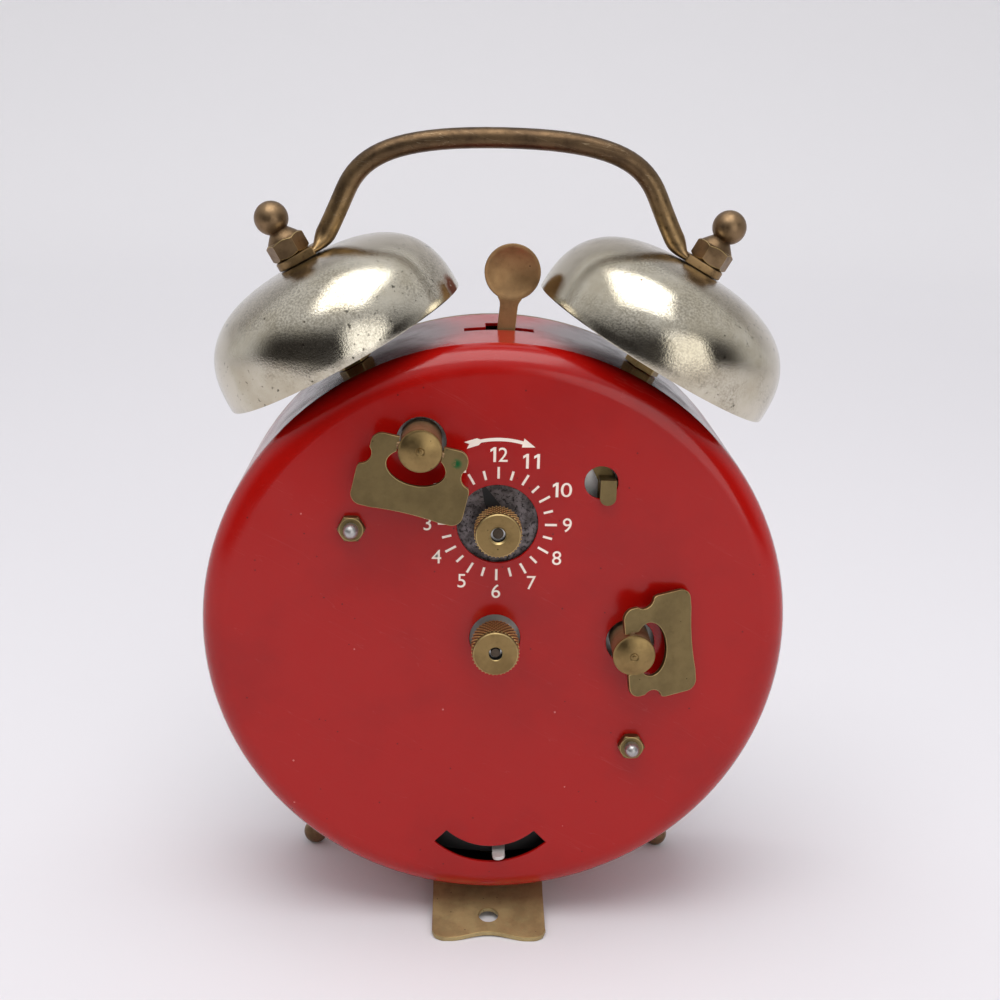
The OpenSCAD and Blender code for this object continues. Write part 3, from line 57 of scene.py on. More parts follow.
joint_at = {j["name"]: Vector(j["pos_m"]) for j in frame["joints"]}
BACK_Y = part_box("case_drum")[1][1]
AXIS_Z = joint_at["centre_turn"].z
print("frame loaded:", len(frame["nodes"]), "nodes; back at", BACK_Y, "axis at", AXIS_Z)

# %% [markdown]
# ## Shop tools
# Three ways of making a solid cover nearly the whole clock. Turned pieces, such as bells and knobs, are a
# half section spun about an axis, as on a lathe. Stamped pieces, such as the key wings, are an outline that is
# filled and pulled up to the sheet's thickness. Bent rods are a ring that is extruded from place to place.
# Each helper starts from a primitive and works with the edit-mode operators.

# %% Select, place and finish
def only(piece):
    bpy.ops.object.select_all(action="DESELECT")
    piece.select_set(True)
    bpy.context.view_layer.objects.active = piece


def place(piece, at, turn=(0, 0, 0)):
    """Moves and turns a piece, then writes its place into its mesh."""
    only(piece)
    piece.location = at
    piece.rotation_euler = turn
    bpy.ops.object.transform_apply(location=True, rotation=True, scale=True)
    return piece


def apply_all(piece):
    only(piece)
    for m in list(piece.modifiers):
        bpy.ops.object.modifier_apply(modifier=m.name)


def coat(piece, *materials):
    for material in materials:
        piece.data.materials.append(material)
    return piece


def smooth(piece, angle=32):
    only(piece)
    bpy.ops.object.shade_smooth_by_angle(angle=math.radians(angle))
    return piece


def soften(piece, width, segments=2, angle=32, edge_slot=-1):
    """Breaks the sharp edges with a small bevel, which may take its own material, and smooths what is left."""
    bevel = piece.modifiers.new("broken edges", "BEVEL")
    bevel.material = edge_slot
    bevel.width = width * MM
    bevel.segments = segments
    bevel.limit_method = "ANGLE"
    bevel.angle_limit = math.radians(angle)
    apply_all(piece)
    smooth(piece, angle)
    even = piece.modifiers.new("even shading", "WEIGHTED_NORMAL")
    even.keep_sharp = True
    apply_all(piece)
    return piece


def combine(piece, tool, operation):
    """Cuts a tool out of a piece, or keeps what both share, and puts the tool away."""
    change = piece.modifiers.new("combine", "BOOLEAN")
    change.operation = operation
    change.solver = "EXACT"
    change.object = tool
    apply_all(piece)
    bpy.data.objects.remove(tool)
    return piece


def cut(piece, *cutters):
    """Takes the cutters out of a piece, as a drill or a punch would."""
    for cutter in cutters:
        combine(piece, cutter, "DIFFERENCE")
    return piece


def join(name, pieces):
    only(pieces[0])
    for p in pieces[1:]:
        p.select_set(True)
    if len(pieces) > 1:
        bpy.ops.object.join()
    whole = bpy.context.object
    whole.name = whole.data.name = name
    return whole


# %% Turn, stamp and drill
def fresh(add, **settings):
    """Runs an operator that adds an object, with nothing else selected."""
    bpy.ops.object.select_all(action="DESELECT")
    add(**settings)
    return bpy.context.object


def one_vertex(name):
    """A small plane, collapsed to a single vertex that the other tools extrude."""
    piece = fresh(bpy.ops.mesh.primitive_plane_add, size=MM)
    piece.name = piece.data.name = name
    bpy.ops.object.mode_set(mode="EDIT")
    bpy.ops.mesh.select_mode(type="VERT")
    bpy.ops.mesh.select_all(action="SELECT")
    bpy.ops.mesh.merge(type="CENTER")
    return piece


def draw_line(spots):
    bpy.ops.transform.translate(value=spots[0])
    for a, b in zip(spots, spots[1:]):
        bpy.ops.mesh.extrude_vertices_move(TRANSFORM_OT_translate={"value": b - a})


def close_up():
    bpy.ops.mesh.select_all(action="SELECT")
    bpy.ops.mesh.remove_doubles(threshold=1e-6)
    bpy.ops.mesh.normals_make_consistent(inside=False)
    bpy.ops.object.mode_set(mode="OBJECT")


def lathe(name, section, steps=64):
    """Spins a half section of (radius, height), in millimetres, about Z."""
    piece = one_vertex(name)
    draw_line([Vector((r, 0, h)) * MM for r, h in section])
    bpy.ops.mesh.select_all(action="SELECT")
    bpy.ops.mesh.spin(steps=steps, angle=math.tau, center=(0, 0, 0), axis=(0, 0, 1))
    close_up()
    return piece


def stamp(name, outline, thick, base=0):
    """Fills an outline of (x, y), in millimetres, and pulls it up from the base to its thickness."""
    piece = one_vertex(name)
    draw_line([Vector((x, y, base)) * MM for x, y in outline])
    bpy.ops.mesh.select_all(action="SELECT")
    bpy.ops.mesh.edge_face_add()
    bpy.ops.mesh.extrude_region_move(TRANSFORM_OT_translate={"value": (0, 0, thick * MM)})
    close_up()
    return piece


def drill(r, at, depth, turn=(0, 0, 0), vertices=48):
    return fresh(bpy.ops.mesh.primitive_cylinder_add, vertices=vertices, radius=r * MM, depth=depth * MM,
                 location=Vector(at) * MM, rotation=turn)


def block(size, at):
    return fresh(bpy.ops.mesh.primitive_cube_add, size=1, location=Vector(at) * MM, scale=Vector(size) * MM)


def arc(cx, cy, r, start, end, steps):
    """Points on a circle, with angles in degrees."""
    angles = [math.radians(start + (end - start) * i / steps) for i in range(steps + 1)]
    return [(cx + r * math.cos(a), cy + r * math.sin(a)) for a in angles]


def select_where(piece, test):
    """Enters edit mode with only the corners selected that pass a test of their place, in millimetres."""
    only(piece)
    bpy.ops.object.mode_set(mode="EDIT")
    bpy.ops.mesh.select_mode(type="VERT")
    bpy.ops.mesh.select_all(action="DESELECT")
    mesh = bmesh.from_edit_mesh(piece.data)
    for v in mesh.verts:
        v.select = test(v.co / MM)
    mesh.select_flush_mode()
    bmesh.update_edit_mesh(piece.data)


def choose_slots(piece, choose):
    """Gives each face the material slot that is chosen by the place of its middle, in millimetres."""
    for face in piece.data.polygons:
        face.material_index = choose(face.center / MM)


# %% Set on the back
FACE_FORWARD = (math.pi / 2, 0, 0)


def on_back(x, z, depth=0.0):
    """A place on the back, in metres: x and z from the case axis, depth forward of the back, in millimetres."""
    return Vector((x * MM, BACK_Y - depth * MM, AXIS_Z + z * MM))


def from_axis(name):
    """x and z of a joint from the case axis, in millimetres."""
    return joint_at[name].x / MM, (joint_at[name].z - AXIS_Z) / MM


def seat(piece, x=0.0, z=0.0, depth=0.0):
    """Sets a piece that was made along Z on the back, with its Z axis pointing forward."""
    return place(piece, on_back(x, z, depth), FACE_FORWARD)


def dress(piece, material, body, slot, *nodes):
    """Gives a finished piece its material and says what it rides on and stands for."""
    if material is not None:
        coat(piece, material)
    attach(piece, body)
    if nodes:
        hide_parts(*nodes)
    print("made", piece.name, len(piece.data.polygons), "faces")
    return piece


# %% [markdown]
# ## Finishes
# Every finish here is old. The red enamel has dark specks and rubbed edges, the nickel on the bells is pitted,
# and the brass has gone olive and brown. The marks are shared: patches of tarnish, fine scratches and small
# specks are three node groups that each material mixes in with its own scale and strength.

# %% A bench for wiring nodes
class Bench:
    """Adds nodes to a tree. Where a value is asked for, another node's output will do as well."""

    def __init__(self, tree):
        self.tree = tree

    def put(self, socket, value):
        if isinstance(value, bpy.types.NodeSocket):
            self.tree.links.new(value, socket)
        else:
            socket.default_value = value

    def node(self, kind, inputs=(), **settings):
        """A shader node with its settings, and then with values for its inputs."""
        new = self.tree.nodes.new("ShaderNode" + kind)
        for key, value in settings.items():
            setattr(new, key, value)
        for key, value in dict(inputs).items():
            self.put(new.inputs[key], value)
        return new

    def math(self, operation, a, b=0, clamp=False):
        return self.node("Math", {0: a, 1: b}, operation=operation, use_clamp=clamp).outputs[0]

    def mix(self, mask, a, b, kind="RGBA"):
        return self.node("Mix", {"Factor": mask, "A": a, "B": b}, data_type=kind).outputs["Result"]

    def step(self, value, low, high):
        """A soft step: 0 up to the low value, 1 from the high one on."""
        bounds = {"Value": value, "From Min": low, "From Max": high}
        return self.node("MapRange", bounds, interpolation_type="SMOOTHSTEP").outputs["Result"]

    def here(self):
        """The place on the piece, in its own coordinates."""
        return self.node("TexCoord").outputs["Object"]

    def apart(self, vector):
        """The X, Y and Z of a vector."""
        return self.node("SeparateXYZ", {0: vector}).outputs

    def gap(self, a, b):
        return self.node("VectorMath", {0: a, 1: b}, operation="DISTANCE").outputs["Value"]


# %% Shared marks
def new_group(name, **inputs):
    """A node group that makes a mask from some numbers."""
    tree = bpy.data.node_groups.new(name, "ShaderNodeTree")
    for label, value in inputs.items():
        socket = tree.interface.new_socket(label, in_out="INPUT", socket_type="NodeSocketFloat")
        socket.default_value = value
    tree.interface.new_socket("Mask", in_out="OUTPUT", socket_type="NodeSocketFloat")
    given = tree.nodes.new("NodeGroupInput").outputs
    return Bench(tree), given, tree.nodes.new("NodeGroupOutput").inputs["Mask"]


def patches_group():
    """Cloudy stains: noise that is cut off at a threshold."""
    bench, given, mask = new_group("tarnish patches", Scale=200, From=0.5, To=0.65)
    cloud = bench.node("TexNoise", {
        "Vector": bench.here(), "Scale": given["Scale"], "Detail": 6, "Roughness": 0.62})
    bench.put(mask, bench.step(cloud.outputs["Fac"], given["From"], given["To"]))
    return bench.tree


def specks_group():
    """Pits and specks: small round cells, of which only some show."""
    bench, given, mask = new_group("specks", Scale=600, Size=0.25, Share=0.3)
    cells = bench.node("TexVoronoi", {"Vector": bench.here(), "Scale": given["Scale"]}).outputs
    chance = bench.node("SeparateColor", {"Color": cells["Color"]}).outputs["Red"]
    near = bench.math("LESS_THAN", cells["Distance"], given["Size"])
    some = bench.math("LESS_THAN", chance, given["Share"])
    bench.put(mask, bench.math("MULTIPLY", near, some))
    return bench.tree


def scratches_group():
    """Hairlines: noise drawn out along one direction, kept where it crosses its middle value."""
    bench, given, mask = new_group("hairline scratches", Scale=400, Stretch=14, Turn=0, Width=0.02)
    turned = bench.node("VectorRotate", {"Vector": bench.here(), "Angle": given["Turn"]}, rotation_type="Y_AXIS")
    x, y, z = bench.apart(turned.outputs["Vector"])
    drawn = bench.node("CombineXYZ", {0: bench.math("DIVIDE", x, given["Stretch"]), 1: y, 2: z}).outputs[0]
    lines = bench.node("TexNoise", {"Vector": drawn, "Scale": given["Scale"], "Detail": 3}).outputs["Fac"]
    off = bench.math("ABSOLUTE", bench.math("SUBTRACT", lines, 0.5))
    bench.put(mask, bench.step(off, given["Width"], 0))
    return bench.tree


PATCHES = patches_group()
SPECKS = specks_group()
SCRATCHES = scratches_group()
print("node groups:", [g.name for g in bpy.data.node_groups])


# %% Materials, mark by mark
BUMP_HEIGHT = 0.0002


def linear(r, g, b):
    """A colour as an eye names it, 0 to 255, as the linear light that a shader takes."""
    def one(c):
        c = c / 255
        return c / 12.92 if c <= 0.04045 else ((c + 0.055) / 1.055) ** 2.4
    return (one(r), one(g), one(b), 1)


class Finish(Bench):
    """A material with one shader, whose colour, roughness and height are built up mark by mark."""

    def __init__(self, name, colour, metallic, roughness):
        self.material = bpy.data.materials.new(name)
        self.material.use_nodes = True
        self.material.diffuse_color = colour
        super().__init__(self.material.node_tree)
        self.shader = self.tree.nodes["Principled BSDF"].inputs
        for key, value in (("Metallic", metallic), ("Roughness", roughness), ("Base Color", colour)):
            self.put(self.shader[key], value)
        self.colour, self.rough, self.height = colour, roughness, None

    def mark(self, group, **values):
        """One of the shared marks, as a mask."""
        return self.node("Group", values, node_tree=group).outputs["Mask"]

    def patches(self, scale, start, end):
        """Stains that begin at one value of the noise and are full at another; a larger scale makes them smaller."""
        return self.mark(PATCHES, Scale=scale, From=start, To=end)

    def specks(self, scale, size, share):
        """Specks of a size, in a share of the cells."""
        return self.mark(SPECKS, Scale=scale, Size=size, Share=share)

    def near(self, spot, low, high):
        """A round mask: 1 closer than low to a place on the piece, 0 further than high, in metres."""
        return self.step(self.gap(self.here(), spot), high, low)

    def paint(self, mask, colour, share=1.0):
        """Lays a colour over what is there, where the mask is."""
        mask = mask if share == 1.0 else self.math("MULTIPLY", mask, share)
        self.colour = self.mix(mask, self.colour, colour)

    def dull(self, mask, roughness):
        """Changes the roughness where the mask is."""
        self.rough = self.mix(mask, self.rough, roughness, "FLOAT")

    def emboss(self, mask, amount):
        """Sets the height: raised where the amount is positive, pitted where it is negative."""
        self.height = self.math("MULTIPLY", mask, amount)

    def finish(self, bump=0.0, **sockets):
        """Wires what was built up into the shader."""
        self.put(self.shader["Base Color"], self.colour)
        self.put(self.shader["Roughness"], self.rough)
        if self.height is not None:
            relief = self.node("Bump", {"Strength": bump, "Distance": BUMP_HEIGHT, "Height": self.height})
            self.put(self.shader["Normal"], relief.outputs["Normal"])
        for key, value in sockets.items():
            self.put(self.shader[key.replace("_", " ")], value)
        return self.material


# %% Red enamel
def make_enamel():
    f = Finish("red enamel", linear(168, 15, 9), 0.0, 0.15)
    f.paint(f.patches(40, 0.42, 0.68), linear(152, 11, 8), 0.7)
    f.dull(f.patches(90, 0.4, 0.7), 0.27)
    lines = f.mark(SCRATCHES, Scale=260, Stretch=18, Turn=0.5, Width=0.002)
    f.paint(lines, linear(196, 96, 90), 0.12)
    f.paint(f.specks(900, 0.14, 0.04), linear(60, 8, 10), 0.8)
    f.paint(f.specks(430, 0.08, 0.05), linear(212, 130, 120), 0.7)
    f.emboss(f.patches(300, 0.3, 0.7), 0.6)
    return f.finish(bump=0.03, Specular_IOR_Level=0.36)


ENAMEL = make_enamel()


# %% Old nickel, brass and bronze
def make_nickel(rust_at):
    """Bright plate that has gone grainy; dark pits gather in clouds, and one spot by the rim has rusted."""
    f = Finish("old nickel", linear(206, 199, 182), 1.0, 0.11)
    clouds = f.patches(55, 0.45, 0.66)
    f.paint(clouds, linear(174, 163, 138), 0.6)
    f.dull(f.patches(80, 0.42, 0.7), 0.2)
    grain = f.patches(2600, 0.36, 0.66)
    f.emboss(grain, -1.0)
    f.paint(f.math("MULTIPLY", grain, f.patches(70, 0.42, 0.6)), linear(120, 112, 96), 0.6)
    gathered = f.patches(62, 0.48, 0.58)
    pits = f.math("MULTIPLY", f.patches(950, 0.6, 0.66), gathered)
    f.paint(pits, linear(52, 46, 36), 0.85)
    f.paint(f.specks(420, 0.1, 0.05), linear(66, 52, 36), 0.85)
    rust = f.math("MULTIPLY", f.near(rust_at, 0.0014, 0.0034), f.patches(700, 0.26, 0.42))
    f.paint(rust, linear(116, 56, 30), 0.95)
    f.dull(rust, 0.7)
    return f.finish(bump=0.07)


def make_brass(name, colour, dark, roughness, tarnish=0.7, metallic=1.0, green_at=None):
    f = Finish(name, colour, metallic, roughness)
    f.paint(f.patches(150, 0.42, 0.68), dark, tarnish)
    f.paint(f.patches(1100, 0.52, 0.74), dark, tarnish * 0.5)
    f.dull(f.patches(500, 0.4, 0.7), min(1.0, roughness + 0.15))
    f.paint(f.specks(1100, 0.16, 0.06), linear(44, 36, 24), 0.7)
    f.emboss(f.patches(1500, 0.35, 0.7), 0.3)
    if green_at is not None:
        ragged = f.patches(900, 0.36, 0.5)
        crust = f.math("MULTIPLY", f.near(green_at, 0.0004, 0.0013), ragged)
        f.paint(crust, linear(34, 110, 66))
        f.dull(crust, 0.8)
    return f.finish(bump=0.12)


def make_plain(name, colour, metallic, roughness, dark, **sockets):
    f = Finish(name, colour, metallic, roughness)
    f.paint(f.patches(260, 0.45, 0.7), dark, 0.5)
    f.dull(f.patches(420, 0.4, 0.7), min(1.0, roughness + 0.12))
    return f.finish(**sockets)


def height_of(f):
    """The height of a place on a piece above the table, in metres."""
    return f.apart(f.here())["Z"]


def make_rod():
    """A brown rod, darker along its top, by height."""
    f = Finish("brown rod", linear(148, 121, 84), 1.0, 0.36)
    f.paint(f.step(height_of(f), AXIS_Z + 0.072, AXIS_Z + 0.086), linear(86, 68, 52), 0.8)
    f.paint(f.patches(150, 0.42, 0.68), linear(64, 50, 38), 0.65)
    f.paint(f.patches(1100, 0.52, 0.74), linear(52, 40, 30), 0.5)
    f.paint(f.mark(SCRATCHES, Scale=500, Stretch=14, Turn=0.2, Width=0.004), linear(190, 170, 140), 0.35)
    f.dull(f.patches(500, 0.4, 0.7), 0.5)
    f.emboss(f.patches(1500, 0.35, 0.7), 0.3)
    return f.finish(bump=0.15)


def make_plate():
    """Plated brass, kept very pale so that it shows bright in the shade of the holes, with painted shade low down that
    leaves the regulator slot black.
    """
    f = Finish("dull plated brass", linear(232, 230, 224), 0.5, 0.4)
    f.paint(f.patches(260, 0.45, 0.7), linear(176, 174, 168), 0.5)
    # Painted shade: nearly black below the axis, where the inside of the case is dark.
    f.paint(f.step(height_of(f), AXIS_Z - 0.012, AXIS_Z - 0.028), linear(14, 12, 12), 0.98)
    f.dull(f.patches(420, 0.4, 0.7), 0.52)
    return f.finish()


def make_knurl(name, centre, radius):
    """Knob brass, darker towards the bottom of the grooves: the further from the axis, the brighter."""
    f = Finish(name, linear(216, 184, 120), 0.7, 0.36)
    flat = f.node("VectorMath", {0: f.here(), 1: (1, 0, 1)}, operation="MULTIPLY").outputs["Vector"]
    from_centre = f.gap(flat, (centre.x, 0, centre.z))
    f.paint(f.step(from_centre, (radius - 0.08) * MM, (radius - 0.26) * MM), linear(58, 43, 24))
    f.paint(f.patches(300, 0.45, 0.7), linear(140, 112, 68), 0.5)
    return f.finish()


def make_pitted_steel():
    f = Finish("pitted steel", linear(122, 114, 114), 0.8, 0.42)
    f.paint(f.patches(420, 0.38, 0.6), linear(66, 60, 58), 0.85)
    pits = f.patches(1700, 0.5, 0.62)
    f.paint(pits, linear(26, 23, 22), 0.85)
    f.emboss(pits, -0.6)
    return f.finish(bump=0.2)


KEY_COLOURS = (linear(126, 109, 74), linear(100, 86, 58))
KEY_BRASS = make_brass("olive brass", *KEY_COLOURS, 0.42, 0.6)
WORN_BRASS = make_brass("worn brass edge", linear(186, 162, 112), linear(140, 118, 76), 0.34, 0.6)
KNOB_BRASS = make_brass("golden brass", linear(146, 122, 80), linear(106, 86, 54), 0.32, 0.6)
STEM_BROWN = make_brass("brown stem", linear(150, 120, 86), linear(104, 80, 56), 0.42, 0.6, 0.6)
BRONZE = make_brass("brown bronze", linear(134, 110, 82), linear(82, 64, 46), 0.38, 0.75)
HAMMER_BRASS = make_brass("hammer brass", linear(160, 126, 84), linear(118, 90, 58), 0.42, 0.6, 0.7)
ROD_BROWN = make_rod()
FOOT_BRASS = make_brass("dull foot brass", linear(184, 164, 116), linear(142, 122, 84), 0.45, 0.6, 0.6)
MOVEMENT_BRASS = make_plain("movement brass", linear(176, 146, 88), 1.0, 0.36, linear(126, 100, 58))
PLATE = make_plate()
ARBOR = make_plain("arbor end", linear(92, 80, 68), 0.8, 0.45, linear(56, 48, 41))
TONGUE = make_plain("matt nickel", linear(212, 206, 202), 0.5, 0.5, linear(168, 160, 156))
STUD_STEEL = make_plain("stud steel", linear(178, 176, 174), 0.85, 0.34, linear(120, 118, 116))
STEEL = make_plain("bright steel", linear(210, 209, 206), 1.0, 0.25, linear(158, 155, 148))
PITTED_STEEL = make_pitted_steel()
BLUED = make_plain("blued spring steel", linear(52, 58, 84), 1.0, 0.3, linear(36, 38, 52))
# Near-black painted shade for the insides of the drum and the bells and for the walls of the knob recesses.
INSIDE_SHADE = make_plain("inside shade", linear(27, 23, 21), 0.2, 0.75, linear(16, 13, 12))
CREAM = make_plain("cream dial paint", linear(240, 232, 208), 0.0, 0.5, linear(226, 214, 184))
PRINT = make_plain("cream print", linear(255, 240, 226), 0.0, 0.5, linear(248, 220, 204))
BLACK = make_plain("black paint", linear(20, 19, 19), 0.0, 0.5, linear(30, 28, 27))


def make_glass():
    """Clear glass with the faintest film, so that its gloss isn't the same all over."""
    f = Finish("clear glass", (0.96, 0.98, 0.98, 1), 0.0, 0.02)
    f.dull(f.patches(90, 0.45, 0.75), 0.06)
    return f.finish(IOR=1.48, Transmission_Weight=1.0)


GLASS = make_glass()

# %% Where the bells lean, and the rust on one of them
DRUM_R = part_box("case_drum")[1][0] / MM
DRUM_DEPTH = (BACK_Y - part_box("case_drum")[0][1]) / MM
BELL_R = 23.9
BELL_H = 17.4
BELL_LIFT = 3.5
BELL_GAP = 15.0
BELL_DEPTH = 18.5
RIM_Z = DRUM_R + BELL_LIFT
BELL_TURN = math.atan2(BELL_R, RIM_Z) + math.asin(BELL_GAP / 2 / math.hypot(BELL_R, RIM_Z))
BELL_Y = BACK_Y - BELL_DEPTH * MM
inner_tip = Vector((-BELL_R * math.cos(BELL_TURN) + RIM_Z * math.sin(BELL_TURN), 0,
                    BELL_R * math.sin(BELL_TURN) + RIM_Z * math.cos(BELL_TURN))) * MM
NICKEL = make_nickel(inner_tip + Vector((0.0008, BELL_Y + 0.006, AXIS_Z + 0.0008)))
print("materials:", len(bpy.data.materials), "bells turned by", math.degrees(BELL_TURN))

# %% [markdown]
# ## Metals for the movement
# Wheels, plates and springs hide inside the drum and only show through its holes, so their solids stay and
# each takes the metal that the record names for it.

# %% Carry the solids over
SLOT_FINISH = {
    "red_enamel": ENAMEL, "nickel": NICKEL, "brass": MOVEMENT_BRASS, "bronze": BRONZE, "steel": STEEL,
    "blued_steel": BLUED, "dial_paint": CREAM, "hand_paint": BLACK, "lens": GLASS}
for part in frame["record"]["subparts"]:
    solid = frame["nodes"][part["node"]]
    solid.data.materials.clear()
    coat(solid, PLATE if part["node"] in ("back_plate", "front_plate") else SLOT_FINISH[part["material_slot"]])

# %% [markdown]
# ## The red drum
# The drum is one deep-drawn cup of sheet steel: side and back in one, with a round shoulder between them.
# It could be a cylinder with a bevel, but a spun half section gives the wall its thickness and the shoulder its
# true radius in one go. The holes are then punched with booleans while the back is still one flat face.

# %% Drum
SHEET = 0.7
SHOULDER = 5.0
SLOT_R, SLOT_W, SLOT_SWEEP = 13.7, 3.4, 44
SLOT_LONG, SLOT_GAP = 12.8, 3.0
NOTCH_WIDE, NOTCH_LONG = 4.8, 4.2
KEY_HOLE_R, KNOB_HOLE_R, WINDOW_R, STOP_HOLE_R = 4.45, 4.65, 7.3, 3.0
STOP_HOLE_AT = (-18.3, 30.0)
PUNCH_DEPTH, SLOT_DEPTH = 4, 8


def flat_loop(piece, height, radius):
    """Fills the round opening at one height of a turned piece with a single face."""
    select_where(piece, lambda p: abs(p.z - height) < 0.01 and abs(math.hypot(p.x, p.y) - radius) < 0.01)
    bpy.ops.mesh.edge_face_add()
    close_up()


def drum_section():
    flat_r = DRUM_R - SHOULDER
    outer = arc(flat_r, SHOULDER, SHOULDER, -90, 0, 10)
    inner = arc(flat_r, SHOULDER, SHOULDER - SHEET, 0, -90, 10)
    return outer + [(DRUM_R, DRUM_DEPTH), (DRUM_R - SHEET, DRUM_DEPTH)] + inner


def regulator_cutter():
    x, z = from_axis("regulator_move")
    start, end = -90 - SLOT_SWEEP, -90 + SLOT_SWEEP
    outline = arc(x, z, SLOT_R + SLOT_W / 2, start, end, 20) + arc(x, z, SLOT_R - SLOT_W / 2, end, start, 20)
    return stamp("regulator slot", outline, PUNCH_DEPTH, base=-PUNCH_DEPTH / 2)


def on_inner_wall(c):
    """Tells the inside of the sheet, which takes painted shade, from the enamelled outside, by how deep in the sheet a
    face lies.
    """
    deep = SHEET * 0.7
    r = math.hypot(c.x, c.y)
    in_shoulder = math.hypot(r - DRUM_R + SHOULDER, min(0, c.z - SHOULDER)) < SHOULDER - deep
    return r < DRUM_R - deep and c.z > deep and (r < DRUM_R - SHOULDER or in_shoulder)


drum = lathe("red_drum", drum_section(), steps=128)
flat_loop(drum, 0, DRUM_R - SHOULDER)
flat_loop(drum, SHEET, DRUM_R - SHOULDER)
holes = [(from_axis("time_winding_turn"), KEY_HOLE_R), (from_axis("alarm_winding_turn"), KEY_HOLE_R),
         ((0, 0), KNOB_HOLE_R), (from_axis("alarm_set_turn"), WINDOW_R), (STOP_HOLE_AT, STOP_HOLE_R)]
cut(drum, *[drill(r, (x, z, 0), PUNCH_DEPTH, vertices=64) for (x, z), r in holes])
cut(drum, regulator_cutter())
notch_at = BELL_DEPTH + SLOT_GAP / 2 + (NOTCH_LONG - 1) / 2
cut(drum, block((SLOT_LONG, SLOT_DEPTH, SLOT_GAP), (0, DRUM_R, BELL_DEPTH)),
    block((NOTCH_WIDE, SLOT_DEPTH, NOTCH_LONG + 1), (0, DRUM_R, notch_at)))
soften(drum, 0.15)
# The inside of the sheet, bare in the real drum, takes the near-black painted shade.
coat(drum, ENAMEL, INSIDE_SHADE)
choose_slots(drum, on_inner_wall)
seat(drum)
dress(drum, None, "clock_body", "red_enamel", "case_drum")

# %% [markdown]
# ## The bells
# Each bell is pressed from sheet and plated. Its outline is fuller than a half ellipse, which a superellipse
# gives with one number. The section runs down the outside, round the rim and back up the inside.

# %% Bells
BELL_T = 1.0
BELL_FULLNESS = 2.7
BELL_TOP = RIM_Z + BELL_H
STUD_HOLE_R = 1.6


def bell_curve(r, h, steps=28):
    """A quarter of a superellipse from the crown's hole down to the rim."""
    top = math.asin(min(1, (1 - (STUD_HOLE_R / r) ** BELL_FULLNESS) ** 0.5))
    line = []
    for i in range(steps + 1):
        a = top * (1 - i / steps)
        line.append((r * math.cos(a) ** (2 / BELL_FULLNESS), RIM_Z + h * math.sin(a) ** (2 / BELL_FULLNESS)))
    return line


def bell_section():
    outside = bell_curve(BELL_R, BELL_H)
    inside = bell_curve(BELL_R - BELL_T, BELL_H - BELL_T)[::-1]
    lip, inner_r = RIM_Z + 0.25, BELL_R - BELL_T
    rim = [(BELL_R, lip), (BELL_R - 0.1, RIM_Z), (inner_r + 0.1, RIM_Z), (inner_r, lip)]
    return outside[:-1] + rim + inside[1:] + outside[:1]


def lean(piece, side):
    """Turns a piece that was made straight above the case axis out to its bell."""
    return place(piece, (0, BELL_Y, AXIS_Z), (0, side * BELL_TURN, 0))


for side, label in ((-1, "left"), (1, "right")):
    bell = coat(smooth(lathe(f"{label}_bell_shell", bell_section(), steps=96), 40), NICKEL, INSIDE_SHADE)
    # Faces inside the bell, above its rim, take the near-black painted shade.
    for face in bell.data.polygons:
        outward = face.normal.dot(face.center - Vector((0, 0, RIM_Z * MM))) > 0
        face.material_index = 0 if outward or face.center.z / MM < RIM_Z + 0.3 else 1
    dress(lean(bell, side), None, "clock_body", "nickel", f"{label}_bell")

# %% [markdown]
# ## Posts and acorn nuts
# A hexagon post lifts each bell off the drum. On top, an acorn nut with a ball clamps the handle's flat end.

# %% Posts and acorns
POST_AF = 6.2
ACORN_AF = 6.5
ACORN_HEX_H = 3.4
ACORN_BALL_H = 7.5
ACORN_BALL_R = 3.1
ACORN_NECK_R = 1.8
TIP_T = 1.6
ACORN_SEAT = BELL_TOP + TIP_T + 0.1
POST_TOP = BELL_TOP - BELL_T - 0.02
STUD_R = 1.5


def hexagon(af, low, high):
    """A hexagon bar along Z whose corners point along X."""
    bar = fresh(bpy.ops.mesh.primitive_cylinder_add, vertices=6, radius=af / 2 / math.cos(math.pi / 6) * MM,
                depth=(high - low) * MM, location=(0, 0, (high + low) / 2 * MM), rotation=(0, 0, math.pi / 6))
    bpy.ops.object.transform_apply(location=True, rotation=True, scale=True)
    return bar


def chamfer_hexagon(piece, af, low, high, drop=0.45):
    """Rounds a hexagon's corners at both ends, as a turned nut has them, with a cone that stays inside."""
    corner = af / 2 / math.cos(math.pi / 6)
    flat = af / 2
    tool = lathe("nut tool", [(0, low), (flat - 0.1, low), (corner + 0.02, low + drop),
                              (corner + 0.02, high - drop), (flat - 0.1, high), (0, high)], steps=72)
    return combine(piece, tool, "INTERSECT")


